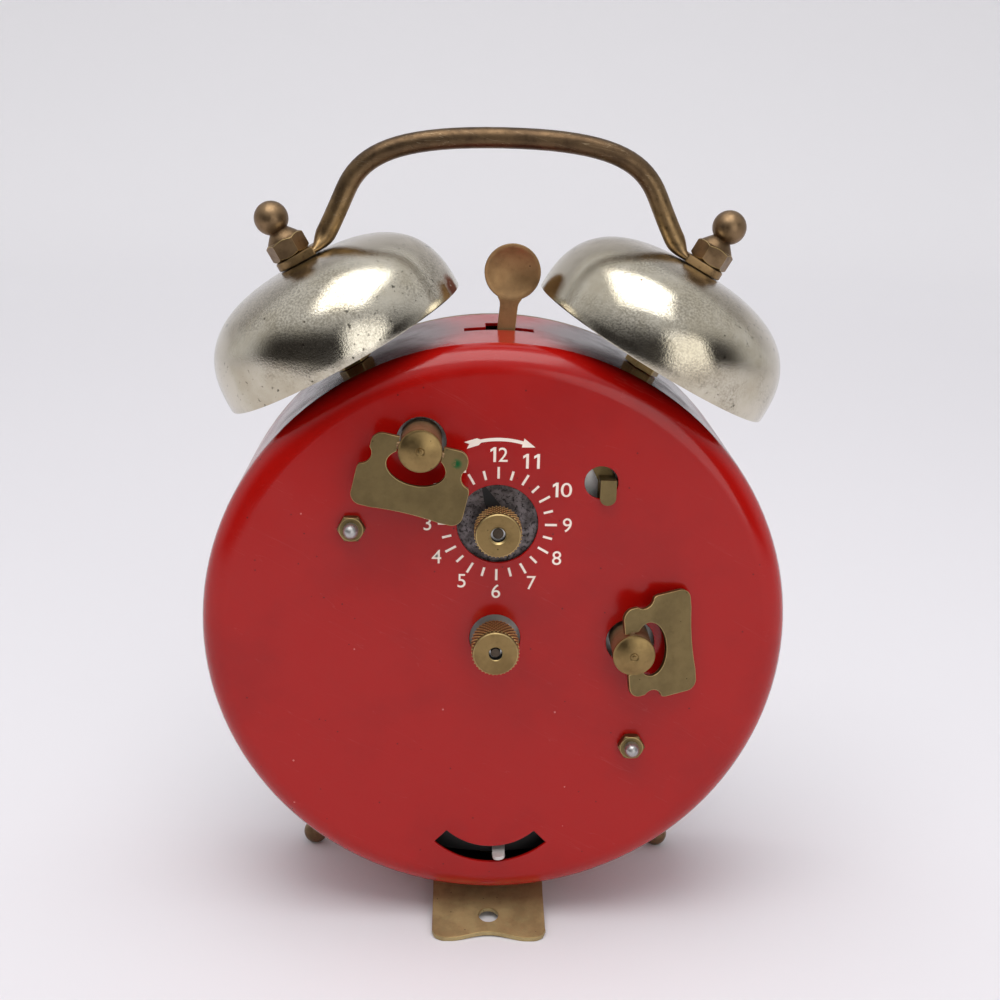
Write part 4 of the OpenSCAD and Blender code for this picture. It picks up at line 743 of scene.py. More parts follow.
acorns = []
for side, label in ((-1, "left"), (1, "right")):
    bar = soften(coat(hexagon(POST_AF, DRUM_R + 0.02, POST_TOP), KNOB_BRASS, WORN_BRASS), 0.2, edge_slot=1)
    stud = lathe("stud", [(0, POST_TOP - 1), (STUD_R, POST_TOP - 1), (STUD_R, ACORN_SEAT + 4.4),
                          (0, ACORN_SEAT + 4.4)], 24)
    tenon = lathe("tenon", [(0, DRUM_R - 3.4), (2, DRUM_R - 3.4), (2, DRUM_R + 1), (0, DRUM_R + 1)], 32)
    post = join(f"{label}_post", [bar, stud, tenon])
    dress(lean(post, side), None, "clock_body", "brass", f"{label}_bell_post")

    low, high = ACORN_SEAT, ACORN_SEAT + ACORN_HEX_H
    nut = chamfer_hexagon(hexagon(ACORN_AF, low, high), ACORN_AF, low, high)
    soften(coat(nut, BRONZE, WORN_BRASS), 0.08, edge_slot=1)
    touch = math.degrees(math.acos(ACORN_NECK_R / ACORN_BALL_R))
    cone = [(0, high - 0.6), (ACORN_AF / 2 - 0.15, high - 0.6), (ACORN_AF / 2 - 0.2, high + 0.1), (2.2, high + 1.1),
            (ACORN_NECK_R + 0.05, high + 1.5)]
    crown = lathe("crown", cone + arc(0, low + ACORN_BALL_H, ACORN_BALL_R, -touch, 90, 18), 40)
    smooth(coat(crown, BRONZE), 40)
    acorns.append(lean(join("acorn", [nut, crown]), side))
dress(join("acorn_pair", acorns), None, "clock_body", "bronze", "acorn_nuts")

# %% [markdown]
# ## The handle
# The handle is a round rod, bent over the bells and hammered flat at both ends. It could be a curve with a round
# bevel, but the ends change from round to flat. So one ring is extruded from place to place along the right half,
# turned to the rod's direction and resized on the way, and a mirror makes the other half.

# %% The rod's line
HANDLE_TOP = DRUM_R + 34.1
HANDLE_D = 3.7
TIP_W = 7.0
SHOULDER_X = 28.0
SHOULDER_DROP = 9.6
LUG = 4.2
FLAT_FROM = 0.55
radial = Vector((math.sin(BELL_TURN), math.cos(BELL_TURN)))
tangent = Vector((math.cos(BELL_TURN), -math.sin(BELL_TURN)))
leg_dir = Vector((math.cos(math.radians(66)), -math.sin(math.radians(66))))
tip_seat = (BELL_TOP + 0.05 + TIP_T / 2) * radial


def bezier(p, t):
    s = 1 - t
    return s ** 3 * p[0] + 3 * t * s * s * p[1] + 3 * t * t * s * p[2] + t ** 3 * p[3]


def bezier_dir(p, t):
    s = 1 - t
    return s * s * (p[1] - p[0]) + 2 * t * s * (p[2] - p[1]) + t * t * (p[3] - p[2])


def rod_places():
    """Right half of the rod as (place, slope, width, thickness), from the top to the flat end."""
    top = Vector((0, HANDLE_TOP))
    shoulder = Vector((SHOULDER_X, HANDLE_TOP - SHOULDER_DROP))
    ankle = tip_seat - LUG * tangent
    arch = [top, top + Vector((19, 0)), shoulder - 7 * leg_dir, shoulder]
    leg = [shoulder, shoulder + 6 * leg_dir, ankle - 1.5 * tangent, ankle]
    places = []
    for line, steps in ((arch, 18), (leg, 20)):
        for i in range(1, steps + 1):
            t = i / steps
            f = max(0, (t - FLAT_FROM) / (1 - FLAT_FROM)) if line is leg else 0
            f = f * f * (3 - 2 * f)
            d = bezier_dir(line, t)
            places.append((bezier(line, t), math.atan2(-d.y, d.x), HANDLE_D + (TIP_W - HANDLE_D) * f,
                           HANDLE_D + (TIP_T - HANDLE_D) * f))
    return places


# %% Handle
def bend_rod(name):
    rod = fresh(bpy.ops.mesh.primitive_circle_add, vertices=24, radius=HANDLE_D / 2 * MM, fill_type="NOTHING",
                location=(0, BELL_Y, AXIS_Z + HANDLE_TOP * MM), rotation=(0, math.pi / 2, 0))
    rod.name = rod.data.name = name
    bpy.ops.object.transform_apply(location=True, rotation=True, scale=True)
    bpy.ops.object.mode_set(mode="EDIT")
    bpy.ops.mesh.select_all(action="SELECT")
    at, slope, width, thick = Vector((0, HANDLE_TOP)), 0.0, HANDLE_D, HANDLE_D
    for spot, new_slope, new_width, new_thick in rod_places():
        move = (spot - at) * MM
        bpy.ops.mesh.extrude_edges_move(TRANSFORM_OT_translate={"value": (move.x, 0, move.y)})
        centre = (spot.x * MM, BELL_Y, AXIS_Z + spot.y * MM)
        bpy.ops.transform.rotate(value=slope, orient_axis="Y", center_override=centre)
        bpy.ops.transform.resize(value=(1, new_width / width, new_thick / thick), center_override=centre)
        bpy.ops.transform.rotate(value=-new_slope, orient_axis="Y", center_override=centre)
        at, slope, width, thick = spot, new_slope, new_width, new_thick
    bpy.ops.mesh.edge_face_add()
    close_up()
    return rod


rod = bend_rod("handle_rod")
tip_outline = [(-LUG - 0.2, -TIP_W / 2)] + arc(0, 0, TIP_W / 2, -90, 90, 20) + [(-LUG - 0.2, TIP_W / 2)]
tip = soften(stamp("flat end", tip_outline, TIP_T, base=-TIP_T / 2), 0.3)
place(tip, (tip_seat.x * MM, BELL_Y, AXIS_Z + tip_seat.y * MM), (0, BELL_TURN, 0))
handle = join("handle_rod", [rod, tip])
halves = handle.modifiers.new("both sides", "MIRROR")
halves.merge_threshold = 1e-6
apply_all(handle)
smooth(handle, 50)
dress(handle, ROD_BROWN, "clock_body", "bronze", "handle")

# %% [markdown]
# ## The hammer
# The hammer is stamped from one strip: a flat stem and a round head that is dished like a spoon.
# It swings between the bells, so it rides on the hammer's own body.

# %% Hammer
HAMMER_LEAN = math.radians(5.1)
HAMMER_HEAD_R = 5.15
HAMMER_DISH = 1.3
STRIP_W = 3.3
hammer_x, hammer_z = from_axis("hammer_swing")
hammer_reach = (DRUM_R + 10.4 - hammer_z) / math.cos(HAMMER_LEAN)


def dish_section():
    """A shallow bowl whose rim lies flush with the stem; positive heights are towards the dial."""
    r, inner_r = HAMMER_HEAD_R, HAMMER_HEAD_R - 0.3
    outside = [(r * k / 10, 0.4 + HAMMER_DISH * (1 - k * k / 100)) for k in range(11)]
    inside = [(inner_r * k / 10, -0.5 + HAMMER_DISH * (1 - k * k / 100)) for k in range(10, -1, -1)]
    return outside + [(r, -0.4), (r - 0.1, -0.5)] + inside


def stem_outline():
    """A flat strip that flares into the head, and ends under its rim."""
    neck = hammer_reach - HAMMER_HEAD_R
    w, seat_r = STRIP_W / 2, HAMMER_HEAD_R - 0.15
    flare = [(w, -2.6), (w, neck - 1.1), (w + 0.1, neck - 0.5), (w + 0.3, neck - 0.05), (w + 0.6, neck + 0.42)]
    seat = [(x / 4, hammer_reach - math.sqrt(seat_r ** 2 - x * x / 16)) for x in range(8, -9, -2)]
    return flare + seat + [(-x, y) for x, y in flare[::-1]]


strip = stamp("stem", stem_outline(), 1.0, base=-0.5)
soften(coat(strip, HAMMER_BRASS, WORN_BRASS), 0.1, edge_slot=1)
bowl = smooth(coat(lathe("bowl", dish_section(), 48), HAMMER_BRASS), 45)
place(bowl, (0, hammer_reach * MM, 0))
hammer = place(join("hammer_spoon", [strip, bowl]), (0, 0, 0), FACE_FORWARD)
place(hammer, on_back(hammer_x, hammer_z, BELL_DEPTH), (0, -HAMMER_LEAN, 0))
dress(hammer, None, "hammer_group", "bronze", "hammer")

# %% [markdown]
# ## Keys
# Each key is a turned stem with a domed head and a flat wing that folds on two pins. The wing is stamped: wide
# lobes outside, a notch in each flank, two ears by the stem and a round opening that clears the head.

# %% The wing's outline
KEY_REACH = (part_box("time_key_stem")[1][1] - BACK_Y) / MM
WING_MID = -5.05
WING_T = 0.9
WING_W, WING_REACH = 20.0, 12.1
EAR_W, EAR_TAIL, EAR_R = 17.2, 1.45, 2.0
LOBE_START, LOBE_R = 3.9, 2.0
NOTCH_AT, NOTCH_R = (2.9, 9.9), 1.9
EYE_AT, EYE_LONG, EYE_WIDE = 3.35, 3.2, 5.2
SLOT_HALF = 3.9
EDGE_HOLLOW, HOLLOW_R = 0.35, 52.0


def wing_outline():
    """Half of the outline, from the hollow outer edge round the lobe, notch and ear to the eye, and its mirror."""
    hollow_at = WING_REACH - EDGE_HOLLOW + HOLLOW_R
    half = [(hollow_at - math.sqrt(HOLLOW_R ** 2 - v * v), v) for v in range(7)]
    half += arc(WING_REACH - LOBE_R, WING_W / 2 - LOBE_R, LOBE_R, 0, 90, 8)
    half += arc(LOBE_START + LOBE_R, WING_W / 2 - LOBE_R, LOBE_R, 96, 120, 4)
    half += arc(*NOTCH_AT, NOTCH_R, -12, -136, 12)
    half += arc(EAR_R - EAR_TAIL, EAR_W / 2 - EAR_R, EAR_R, 90, 180, 8)
    half += [(-EAR_TAIL, SLOT_HALF)]
    start = 180 - math.degrees(math.asin(SLOT_HALF / EYE_WIDE))
    for i in range(17):
        a = math.radians(start * (1 - i / 16))
        half.append((EYE_AT + EYE_LONG * math.cos(a), EYE_WIDE * math.sin(a)))
    return half + [(u, -v) for u, v in half[-2:0:-1]]


# %% Keys
STEM_R = 3.65
HEAD_R = 3.85
WING_LEAN = {"time": 20, "alarm": 0}
WING_ANGLE = {"time": 173, "alarm": 283}


def key_stem_section():
    head = arc(0, -KEY_REACH + 8.2, 8.05, -90 + 6, -90 + 26, 10)
    lip = [(HEAD_R - 0.08, -KEY_REACH + 0.95), (HEAD_R, -KEY_REACH + 1.15), (HEAD_R, WING_MID - 0.95),
           (HEAD_R - 0.1, WING_MID - 0.85)]
    nub = [(0, -KEY_REACH), (0.3, -KEY_REACH + 0.03), (0.36, -KEY_REACH + 0.3), (0.62, -KEY_REACH + 0.34)]
    return nub + head + lip + [(STEM_R, WING_MID - 0.8), (STEM_R, 2.7), (0, 2.7)]


for label in ("time", "alarm"):
    x, z = from_axis(f"{label}_winding_turn")
    stem = coat(lathe(f"{label}_stem", key_stem_section(), 48), KNOB_BRASS, STEM_BROWN)
    choose_slots(stem, lambda c: c.z > WING_MID - 1.2)
    seat(smooth(stem, 30), x, z)
    dress(stem, None, f"{label}_winding", "brass", f"{label}_key_stem")

    metal = KEY_BRASS if label == "time" else make_brass(
        "olive brass with verdigris", *KEY_COLOURS, 0.42, 0.6, green_at=on_back(x - 6.3, z - 2.4, WING_MID))
    wing = coat(stamp(f"{label}_wing_plate", wing_outline(), WING_T, base=-WING_T / 2), metal, WORN_BRASS)
    soften(wing, 0.12, edge_slot=1)
    pins = [drill(0.6, (0, side * 3.2, 0), 2.0, (math.pi / 2, 0, 0), 20) for side in (-1, 1)]
    for pin in pins:
        place(coat(pin, STEM_BROWN), pin.location, pin.rotation_euler)
    wing = join(wing.name, [wing] + pins)
    place(wing, (0, 0, 0), (0, -math.radians(WING_LEAN[label]), 0))
    place(wing, (0, 0, 0), (0, 0, math.radians(WING_ANGLE[label])))
    seat(wing, x, z, WING_MID)
    dress(wing, None, f"{label}_wing", "brass", f"{label}_key_wing")

# %% [markdown]
# ## Knobs
# Both setting knobs have a diamond knurl for the fingers. A knurl is a grid of small pyramids, so every other
# corner of a turned band is selected, shifted by one from row to row, and drawn in. Cutting the quads along
# their shortest diagonal then joins the low corners, which leaves a pyramid on each high one. The grooves are
# painted darker towards their bottom, and behind the band the knob is only a thin neck. In the face, a recess
# whose walls are painted in shade shows the end of the arbor.

# %% Knobs
KNURL_COUNT = 38
KNURL_DEPTH = 0.3
KNURL_PITCH = 0.6
BAND_INSET = 0.001
PIN_GAP = 0.35
RECESS = 1.45
NECK_SHARE = 0.55


def knob_section(radius, reach, bottom, hole_r, pin_depth, sink, rows, low, high):
    """From the arbor's end over the face and the band to the neck; the band's inset marks its corners."""
    face, pin_r, neck_r = -reach, hole_r - PIN_GAP, radius * NECK_SHARE
    recess = [(0, face + pin_depth), (pin_r - 0.07, face + pin_depth), (pin_r, face + pin_depth + 0.1),
              (pin_r, face + RECESS), (hole_r, face + RECESS), (hole_r, face + sink), (hole_r + sink, face)]
    edge = [(radius - 0.5, face), (radius - 0.3, face + 0.15), (radius - 0.26, low - 0.05)]
    band = [(radius - BAND_INSET, low + (high - low) * i / rows) for i in range(rows + 1)]
    neck = [(radius - 0.3, high + 0.05), (radius - 0.3, high + 0.3), (neck_r, high + 0.35), (neck_r, bottom)]
    return recess + edge + band + neck + [(0, bottom)]


def draw_in_knurl(piece, radius, rows, low, high):
    def drawn_in(p):
        row = round((p.z - low) / (high - low) * rows)
        column = round(math.atan2(p.y, p.x) / math.tau * KNURL_COUNT * 2)
        on_band = abs(math.hypot(p.x, p.y) - radius + BAND_INSET) < BAND_INSET / 2
        return on_band and (row + column) % 2 == 1

    select_where(piece, drawn_in)
    k = 1 - KNURL_DEPTH / radius
    bpy.ops.transform.resize(value=(k, k, 1), center_override=(0, 0, 0))
    bpy.ops.mesh.select_all(action="SELECT")
    bpy.ops.mesh.quads_convert_to_tris(quad_method="SHORTEST_DIAGONAL")
    bpy.ops.object.mode_set(mode="OBJECT")


def knurled_knob(name, node, spot, band, bottom, hole_r, pin_depth, sink):
    radius = (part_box(node)[1][0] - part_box(node)[0][0]) / 2 / MM
    reach = (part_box(node)[1][1] - BACK_Y) / MM
    low, high = -reach + 0.5, -reach + band
    rows = round((high - low) / KNURL_PITCH)
    section = knob_section(radius, reach, bottom, hole_r, pin_depth, sink, rows, low, high)
    piece = lathe(name, section, KNURL_COUNT * 2)
    draw_in_knurl(piece, radius, rows, low, high)
    knurl = make_knurl(f"{name} knurl", on_back(*spot), radius)
    coat(piece, KNOB_BRASS, ARBOR, INSIDE_SHADE, WORN_BRASS, knurl)

    def metal(c):
        r, level = math.hypot(c.x, c.y), c.z + reach
        if level < 1.5 and r < hole_r + 0.001:
            # Round the arbor end, the recess walls take the near-black painted shade.
            return 1 if level < pin_depth + 0.11 and r < hole_r - PIN_GAP else 2
        if (level < sink and r < hole_r + sink) or (level < 0.2 and r > radius - 0.5):
            return 3
        return 4 if low - 0.1 < c.z < high + 0.1 else 0

    choose_slots(piece, metal)
    return seat(smooth(piece, 25), *spot)


SPIN_X, SPIN_Z = from_axis("alarm_set_turn")
time_knob = knurled_knob("time_knob", "time_set_knob", (0, 0), 5.6, 2.7, 1.22, 0.6, 0.12)
dress(time_knob, None, "centre_group", "brass", "time_set_knob")
alarm_knob = knurled_knob("alarm_knob", "alarm_set_knob", (SPIN_X, SPIN_Z), 4.2, 0.98, 1.32, 1.1, 0.32)
dress(alarm_knob, None, "alarm_setting", "brass", "alarm_set_knob")

# %% [markdown]
# ## The alarm window
# Behind the alarm knob a dark steel disc carries a thin black wedge.

# %% Pointer disc
DISC_R, DISC_BORE_R = 8.5, 1.55
disc = lathe("pointer_disc", [(DISC_BORE_R, 1.0), (DISC_R - 0.1, 1.0), (DISC_R, 1.1), (DISC_R, 1.5),
                              (DISC_BORE_R, 1.5), (DISC_BORE_R, 1.0)], 64)
dress(seat(disc, SPIN_X, SPIN_Z), PITTED_STEEL, "alarm_setting", "steel", "alarm_pointer_disc")
wedge = stamp("black_wedge", [(-0.6, 3.2), (2.3, 3.2), (2.9, 6.5), (2.2, 6.7)], 0.06, base=0.93)
seat(wedge, SPIN_X, SPIN_Z)
dress(wedge, BLACK, "alarm_setting", "hand_paint")

# %% [markdown]
# ## Nuts, studs, feet and small levers
# The case nuts are brass hexagons on steel studs with round ends. The small bent pieces are copied from their
# solids, merged and given broken edges, since their shape is already right.

# %% Small pieces
NUT_AF, NUT_H = 4.4, 1.7
STUD_END_R = 1.35
studs, nuts = [], []
for x, z in ((26.0, 21.1), (-26.0, -21.1)):
    nut = chamfer_hexagon(hexagon(NUT_AF, -NUT_H, 0), NUT_AF, -NUT_H, 0, 0.35)
    soften(coat(nut, KEY_BRASS, WORN_BRASS), 0.06, edge_slot=1)
    nuts.append(seat(nut, x, z))
    dome = [(0, -3.85)] + arc(0, -2.5, STUD_END_R, -78, 0, 7)
    end = lathe("stud end", dome + [(STUD_END_R, 0.7), (3, 0.71), (3, 3.2), (0, 3.2)], 32)
    studs.append(seat(smooth(end, 40), x, z))
dress(join("case_nut_pair", nuts), None, "clock_body", "brass", "case_nuts")
dress(join("stud_pair", studs), STUD_STEEL, "clock_body", "steel", "movement_studs")


def copy_of(node, name, width):
    """A merged copy of a solid's mesh with broken edges."""
    source = frame["nodes"][node]
    piece = source.copy()
    piece.data = source.data.copy()
    piece.parent = None
    piece.matrix_world = source.matrix_world
    piece.name = piece.data.name = name
    piece.data.materials.clear()
    bpy.context.collection.objects.link(piece)
    only(piece)
    bpy.ops.object.mode_set(mode="EDIT")
    bpy.ops.mesh.select_all(action="SELECT")
    bpy.ops.mesh.remove_doubles(threshold=2e-6)
    bpy.ops.mesh.dissolve_limited(angle_limit=math.radians(1))
    bpy.ops.object.mode_set(mode="OBJECT")
    return soften(piece, width)


dress(copy_of("front_feet", "front_pegs", 0.1), BRONZE, "clock_body", "bronze", "front_feet")
tongue = copy_of("regulator_lever", "regulator_tongue", 0.08)
TONGUE_LONGER, TONGUE_END = 1.0, 1.2
low_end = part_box("regulator_lever")[0][2]
for v in tongue.data.vertices:
    if v.co.z < low_end + TONGUE_END * MM and v.co.y > BACK_Y - MM:
        v.co.z -= TONGUE_LONGER * MM
dress(tongue, TONGUE, "regulator", "nickel", "regulator_lever")
dress(copy_of("alarm_stop_lever", "alarm_stop_tab", 0.08), KEY_BRASS, "alarm_stop", "brass", "alarm_stop_lever")

# %% [markdown]
# ## The rear foot
# The foot is a strip, bent twice. Its side view is drawn as a band about the bend line and pulled out to the
# strip's width; the wavy end and the hole are then punched from above.

# %% Rear foot
FOOT_T, FOOT_W, FOOT_REACH = 0.9, 21.8, 6.3
FLANGE_Z, TIP_Z = -DRUM_R - FOOT_T / 2 - 0.02, -AXIS_Z / MM + FOOT_T / 2 + 0.02
BENDS = [Vector(p) for p in ((-21.5, FLANGE_Z), (-12.3, FLANGE_Z), (-7.0, -57.35), (FOOT_REACH, TIP_Z))]
LOBE_X, HOLLOW, CORNER = 7.95, 1.6, 2.2
FOOT_HOLE_R, HOLE_FROM_END = 1.9, 6.2


def band(line, width):
    """The outline of a strip of even width about a bent line."""
    ways = [(b - a).normalized() for a, b in zip(line, line[1:])]
    sides = []
    for i, p in enumerate(line):
        way = (ways[max(0, i - 1)] + ways[min(i, len(ways) - 1)]).normalized()
        reach = width / 2 / way.dot(ways[min(i, len(ways) - 1)])
        sides.append(Vector((-way.y, way.x)) * reach)
    pairs = list(zip(line, sides))
    return [tuple(p + o) for p, o in pairs] + [tuple(p - o) for p, o in pairs[::-1]]


def tip_edge(x):
    """How far the wavy end reaches at a distance from the middle."""
    if abs(x) < LOBE_X:
        return FOOT_REACH - HOLLOW / 2 * (1 + math.cos(math.pi * x / LOBE_X))
    past = (abs(x) - LOBE_X) / (FOOT_W / 2 - LOBE_X)
    return FOOT_REACH - CORNER * (1 - math.sqrt(max(0, 1 - past ** 2)))


foot = stamp("rear_foot_plate", band(BENDS, FOOT_T), FOOT_W, base=-FOOT_W / 2)
place(foot, (0, BACK_Y, AXIS_Z), (math.pi / 2, 0, math.pi / 2))
xs = [FOOT_W / 2 * i / 24 for i in range(-24, 25)]
corner_y = FOOT_REACH - CORNER
beyond = [(FOOT_W, corner_y), (FOOT_W, 20), (-FOOT_W, 20), (-FOOT_W, corner_y)]
waste = stamp("waste", [(x, tip_edge(x)) for x in xs] + beyond, 12)
place(waste, (0, BACK_Y, -0.004))
tail = (BENDS[3] - BENDS[2]).normalized()
hole = BENDS[3] - tail * HOLE_FROM_END
punch = drill(FOOT_HOLE_R, (0, BACK_Y / MM + hole.x, AXIS_Z / MM + hole.y), 8, (math.atan2(tail.y, tail.x), 0, 0))
cut(foot, waste, punch)
soften(coat(foot, FOOT_BRASS, WORN_BRASS), 0.1, edge_slot=1)
dress(foot, None, "clock_body", "brass", "rear_foot")

# %% [markdown]
# ## Print on the back
# The alarm ring is printed in cream: hour strokes, half-hour strokes, numerals and a curved arrow. Seen from the
# back the hours run the other way round, because the knob turns the same arbor as the hands.
# Each mark is a thin plate on the enamel, so it stays in place when the model is exported.

# %% Strokes and numerals
PRINT_LIFT = 0.03
PRINT_T = 0.02
FACE_BACK = (math.pi / 2, 0, math.pi)
# A one with a flag, for a height of 1: the built-in font draws it as a bare stroke
ONE = [(-0.06, -0.5), (0.12, -0.5), (0.12, 0.5), (-0.03, 0.5), (-0.26, 0.35), (-0.26, 0.17), (-0.06, 0.29)]


def width_of(piece):
    xs = [v.co.x for v in piece.data.vertices]
    return min(xs), max(xs)


def digit(mark, height):
    """One digit as a thin mesh on the XY plane, with its middle height on the X axis."""
    if mark == "1":
        return stamp("one", [(x * height, y * height) for x, y in ONE], PRINT_T)
    text = fresh(bpy.ops.object.text_add).data
    text.body = mark
    text.size = height * 1.38 * MM
    text.offset = height * 0.002 * MM
    text.extrude = PRINT_T / 2 * MM
    bpy.ops.object.convert(target="MESH")
    glyph = bpy.context.object
    glyph.scale.x = 1.2 if mark == "0" else 1.0
    ys = [v.co.y for v in glyph.data.vertices]
    return place(glyph, (0, -(min(ys) + max(ys)) / 2, 0))


def numeral(hour, height):
    """The digits of an hour side by side, centred on the origin."""
    glyphs, reach = [], 0.0
    for mark in str(hour):
        glyph = digit(mark, height)
        low, high = width_of(glyph)
        glyphs.append(place(glyph, (reach - low, 0, 0)))
        reach += high - low + (0.34 if hour == 11 else 0.16) * height * MM
    word = join("numeral", glyphs)
    low, high = width_of(word)
    return place(word, (-(low + high) / 2, 0, 0))


def tick(r0, r1, width, angle):
    """A stroke along a radius; the angle runs from straight up towards +X."""
    piece = stamp("tick", [(-width / 2, r0), (width / 2, r0), (width / 2, r1), (-width / 2, r1)], PRINT_T)
    return place(piece, (0, 0, 0), (0, 0, -math.radians(angle)))


# %% Alarm ring
NUMERAL_R = {6: 12.75, 7: 12.75, 10: 13.15, 11: 13.1, 12: 12.9}
marks = [tick(8.5, 10.2 if i % 2 else 10.65, 0.43, i * 15) for i in range(24)]
ring = seat(join("ring strokes", marks), SPIN_X, SPIN_Z, -PRINT_LIFT)
numerals = []
for hour in range(1, 13):
    a = math.radians(hour * 30 + (4 if hour == 11 else 0))
    r = NUMERAL_R.get(hour, 12.5)
    spot = on_back(SPIN_X + r * math.sin(a), SPIN_Z + r * math.cos(a), -PRINT_LIFT)
    numerals.append(place(numeral(hour, 2.7), spot, FACE_BACK))

# %% Curved arrow
ARROW_R = 15.65
SHAFT_W = 0.6
ARROW_TIP, HEAD_BACK, FEATHER_FRONT, ARROW_TAIL = 114, 105.5, 76, 67.7


def on_arc(out, angle):
    """A place so far outside the middle of the arrow's shaft, at an angle in degrees."""
    r, a = ARROW_R + out, math.radians(angle)
    return (r * math.cos(a), r * math.sin(a))


FEATHER_END = FEATHER_FRONT + 2
shaft = stamp("shaft", arc(0, 0, ARROW_R + SHAFT_W / 2, FEATHER_END, HEAD_BACK, 16)
              + arc(0, 0, ARROW_R - SHAFT_W / 2, HEAD_BACK, FEATHER_END, 16), PRINT_T)
head = stamp("head", [on_arc(0, ARROW_TIP), on_arc(-0.85, HEAD_BACK), on_arc(0.85, HEAD_BACK)], PRINT_T)
feather = stamp("feather", [on_arc(*spot) for spot in (
    (-SHAFT_W / 2, FEATHER_END), (SHAFT_W / 2, FEATHER_END), (0.65, FEATHER_FRONT), (0.65, ARROW_TAIL),
    (0, ARROW_TAIL + 2.6), (-0.65, ARROW_TAIL), (-0.65, FEATHER_FRONT))], PRINT_T)
arrow = seat(join("arrow", [shaft, head, feather]), SPIN_X, SPIN_Z, -PRINT_LIFT)
dress(join("alarm_ring_print", [ring, arrow] + numerals), PRINT, "clock_body", "dial_paint")

# %% [markdown]
# ## The front
# The photo doesn't show it, so it is kept to what such clocks have: a cream dial with plain numerals and a
# minute track, black hands, a domed glass and a brass bezel.

# %% Bezel, glass and dial
BEZEL_W = 5.5
BEZEL_H = 2.0
LENS_EDGE = DRUM_DEPTH + 0.2
LENS_CLEAR = DRUM_R - BEZEL_W
LENS_R = DRUM_R - 2.8
DIAL_T = 0.6
DIAL_FRONT = 29.2
inner_r, spigot_r, spigot = LENS_R + 0.3, DRUM_R - SHEET - 0.1, DRUM_DEPTH - 1.6
bezel_top = DRUM_DEPTH + BEZEL_H
bezel = lathe("bezel_ring", [
    (inner_r, spigot), (spigot_r, spigot), (spigot_r, DRUM_DEPTH + 0.02), (DRUM_R - 0.05, DRUM_DEPTH + 0.02)]
    + arc(DRUM_R - 1, bezel_top - 1, 1, 0, 90, 6) + [(LENS_CLEAR + 2.2, bezel_top)]
    + arc(LENS_CLEAR + 1, bezel_top - 0.9, 0.9, 90, 180, 6)
    + [(LENS_CLEAR + 0.1, LENS_EDGE + 0.02), (inner_r, LENS_EDGE + 0.02), (inner_r, spigot)], 128)
seat(smooth(bezel, 30))
dress(bezel, KNOB_BRASS, "clock_body", "brass", "front_bezel")

LENS_RISE = 3.6
dome_r = LENS_CLEAR - 0.4
outer_dome = [(dome_r * i / 24, LENS_EDGE + LENS_RISE * (1 - (i / 24) ** 2)) for i in range(25)]
inner_dome = [(dome_r * i / 24, LENS_EDGE - 1 + (LENS_RISE - 0.2) * (1 - (i / 24) ** 2)) for i in range(24, -1, -1)]
lens = lathe("domed_glass", outer_dome + [(LENS_R, LENS_EDGE), (LENS_R, LENS_EDGE - 1)] + inner_dome, 96)
seat(smooth(lens, 30))
dress(lens, GLASS, "clock_body", "lens", "lens")

dial_r, dial_bore_r, dial_back = DRUM_R - 3.5, 3.25, DIAL_FRONT - DIAL_T
dial = lathe("dial_disc", [(dial_bore_r, dial_back), (dial_r, dial_back), (dial_r, DIAL_FRONT),
                           (dial_bore_r, DIAL_FRONT), (dial_bore_r, dial_back)], 128)
seat(smooth(dial, 30))
dress(dial, CREAM, "clock_body", "dial_paint", "dial_plate")

track = []
for minute in range(60):
    five = minute % 5 == 0
    track.append(tick(42.6 if five else 44.2, 46.2, 0.9 if five else 0.35, minute * 6))
track = seat(join("minute track", track), depth=DIAL_FRONT + PRINT_LIFT)
HOURS_R = 36.5
hours = []
for hour in range(1, 13):
    a = math.radians(hour * 30)
    hours.append(seat(numeral(hour, 7), HOURS_R * math.sin(a), HOURS_R * math.cos(a), DIAL_FRONT + PRINT_LIFT))
dress(join("dial_print", [track] + hours), BLACK, "clock_body", "hand_paint")


def hand(name, length, width, hub, level, turn):
    tail, neck = -length / 4, length - 2 * width
    outline = [(-width / 2, tail), (width / 2, tail), (width * 0.7, 0), (width * 0.35, neck), (0, length),
               (-width * 0.35, neck), (-width * 0.7, 0)]
    blade = soften(stamp("blade", outline, 0.3, base=level), 0.06)
    boss = lathe("boss", [(0, level - 0.02), (hub, level - 0.02), (hub, level + 0.26), (hub - 0.5, level + 0.34),
                          (0, level + 0.34)], 40)
    piece = join(name, [blade, boss])
    place(piece, (0, 0, 0), (0, 0, -math.radians(turn)))
    return seat(piece)


dress(hand("hour_baton", 27, 3, 4.4, DIAL_FRONT + 0.8, 305), BLACK, "hour_group", "hand_paint", "hour_hand")
dress(hand("minute_baton", 39, 2.4, 3.6, DIAL_FRONT + 2, 60), BLACK, "centre_group", "hand_paint", "minute_hand")

# %% [markdown]
# ## Stage, light and camera
# The clock stands on a pale sweep: a floor that curves up behind it, so that no horizon shows. Light comes from a
# large soft box overhead and a weaker one behind the camera. The room is pale to the camera. In reflections it is
# dark on the camera's side, because bright metal looks like metal only where it has something dark to mirror.

# %% Sweep
SWEEP_BACK, SWEEP_R, SWEEP_FRONT, SWEEP_TOP, SWEEP_W = -900.0, 500.0, 1600.0, 1600.0, 5000.0
profile = [(SWEEP_FRONT, 0.0)] + arc(SWEEP_BACK, SWEEP_R, SWEEP_R, -90, -180, 24) + [(SWEEP_BACK - SWEEP_R, SWEEP_TOP)]
sweep = one_vertex("sweep")
draw_line([Vector((-SWEEP_W / 2, y, z)) * MM for y, z in profile])
bpy.ops.mesh.select_all(action="SELECT")
bpy.ops.mesh.extrude_edges_move(TRANSFORM_OT_translate={"value": (SWEEP_W * MM, 0, 0)})
close_up()
smooth(sweep, 40)


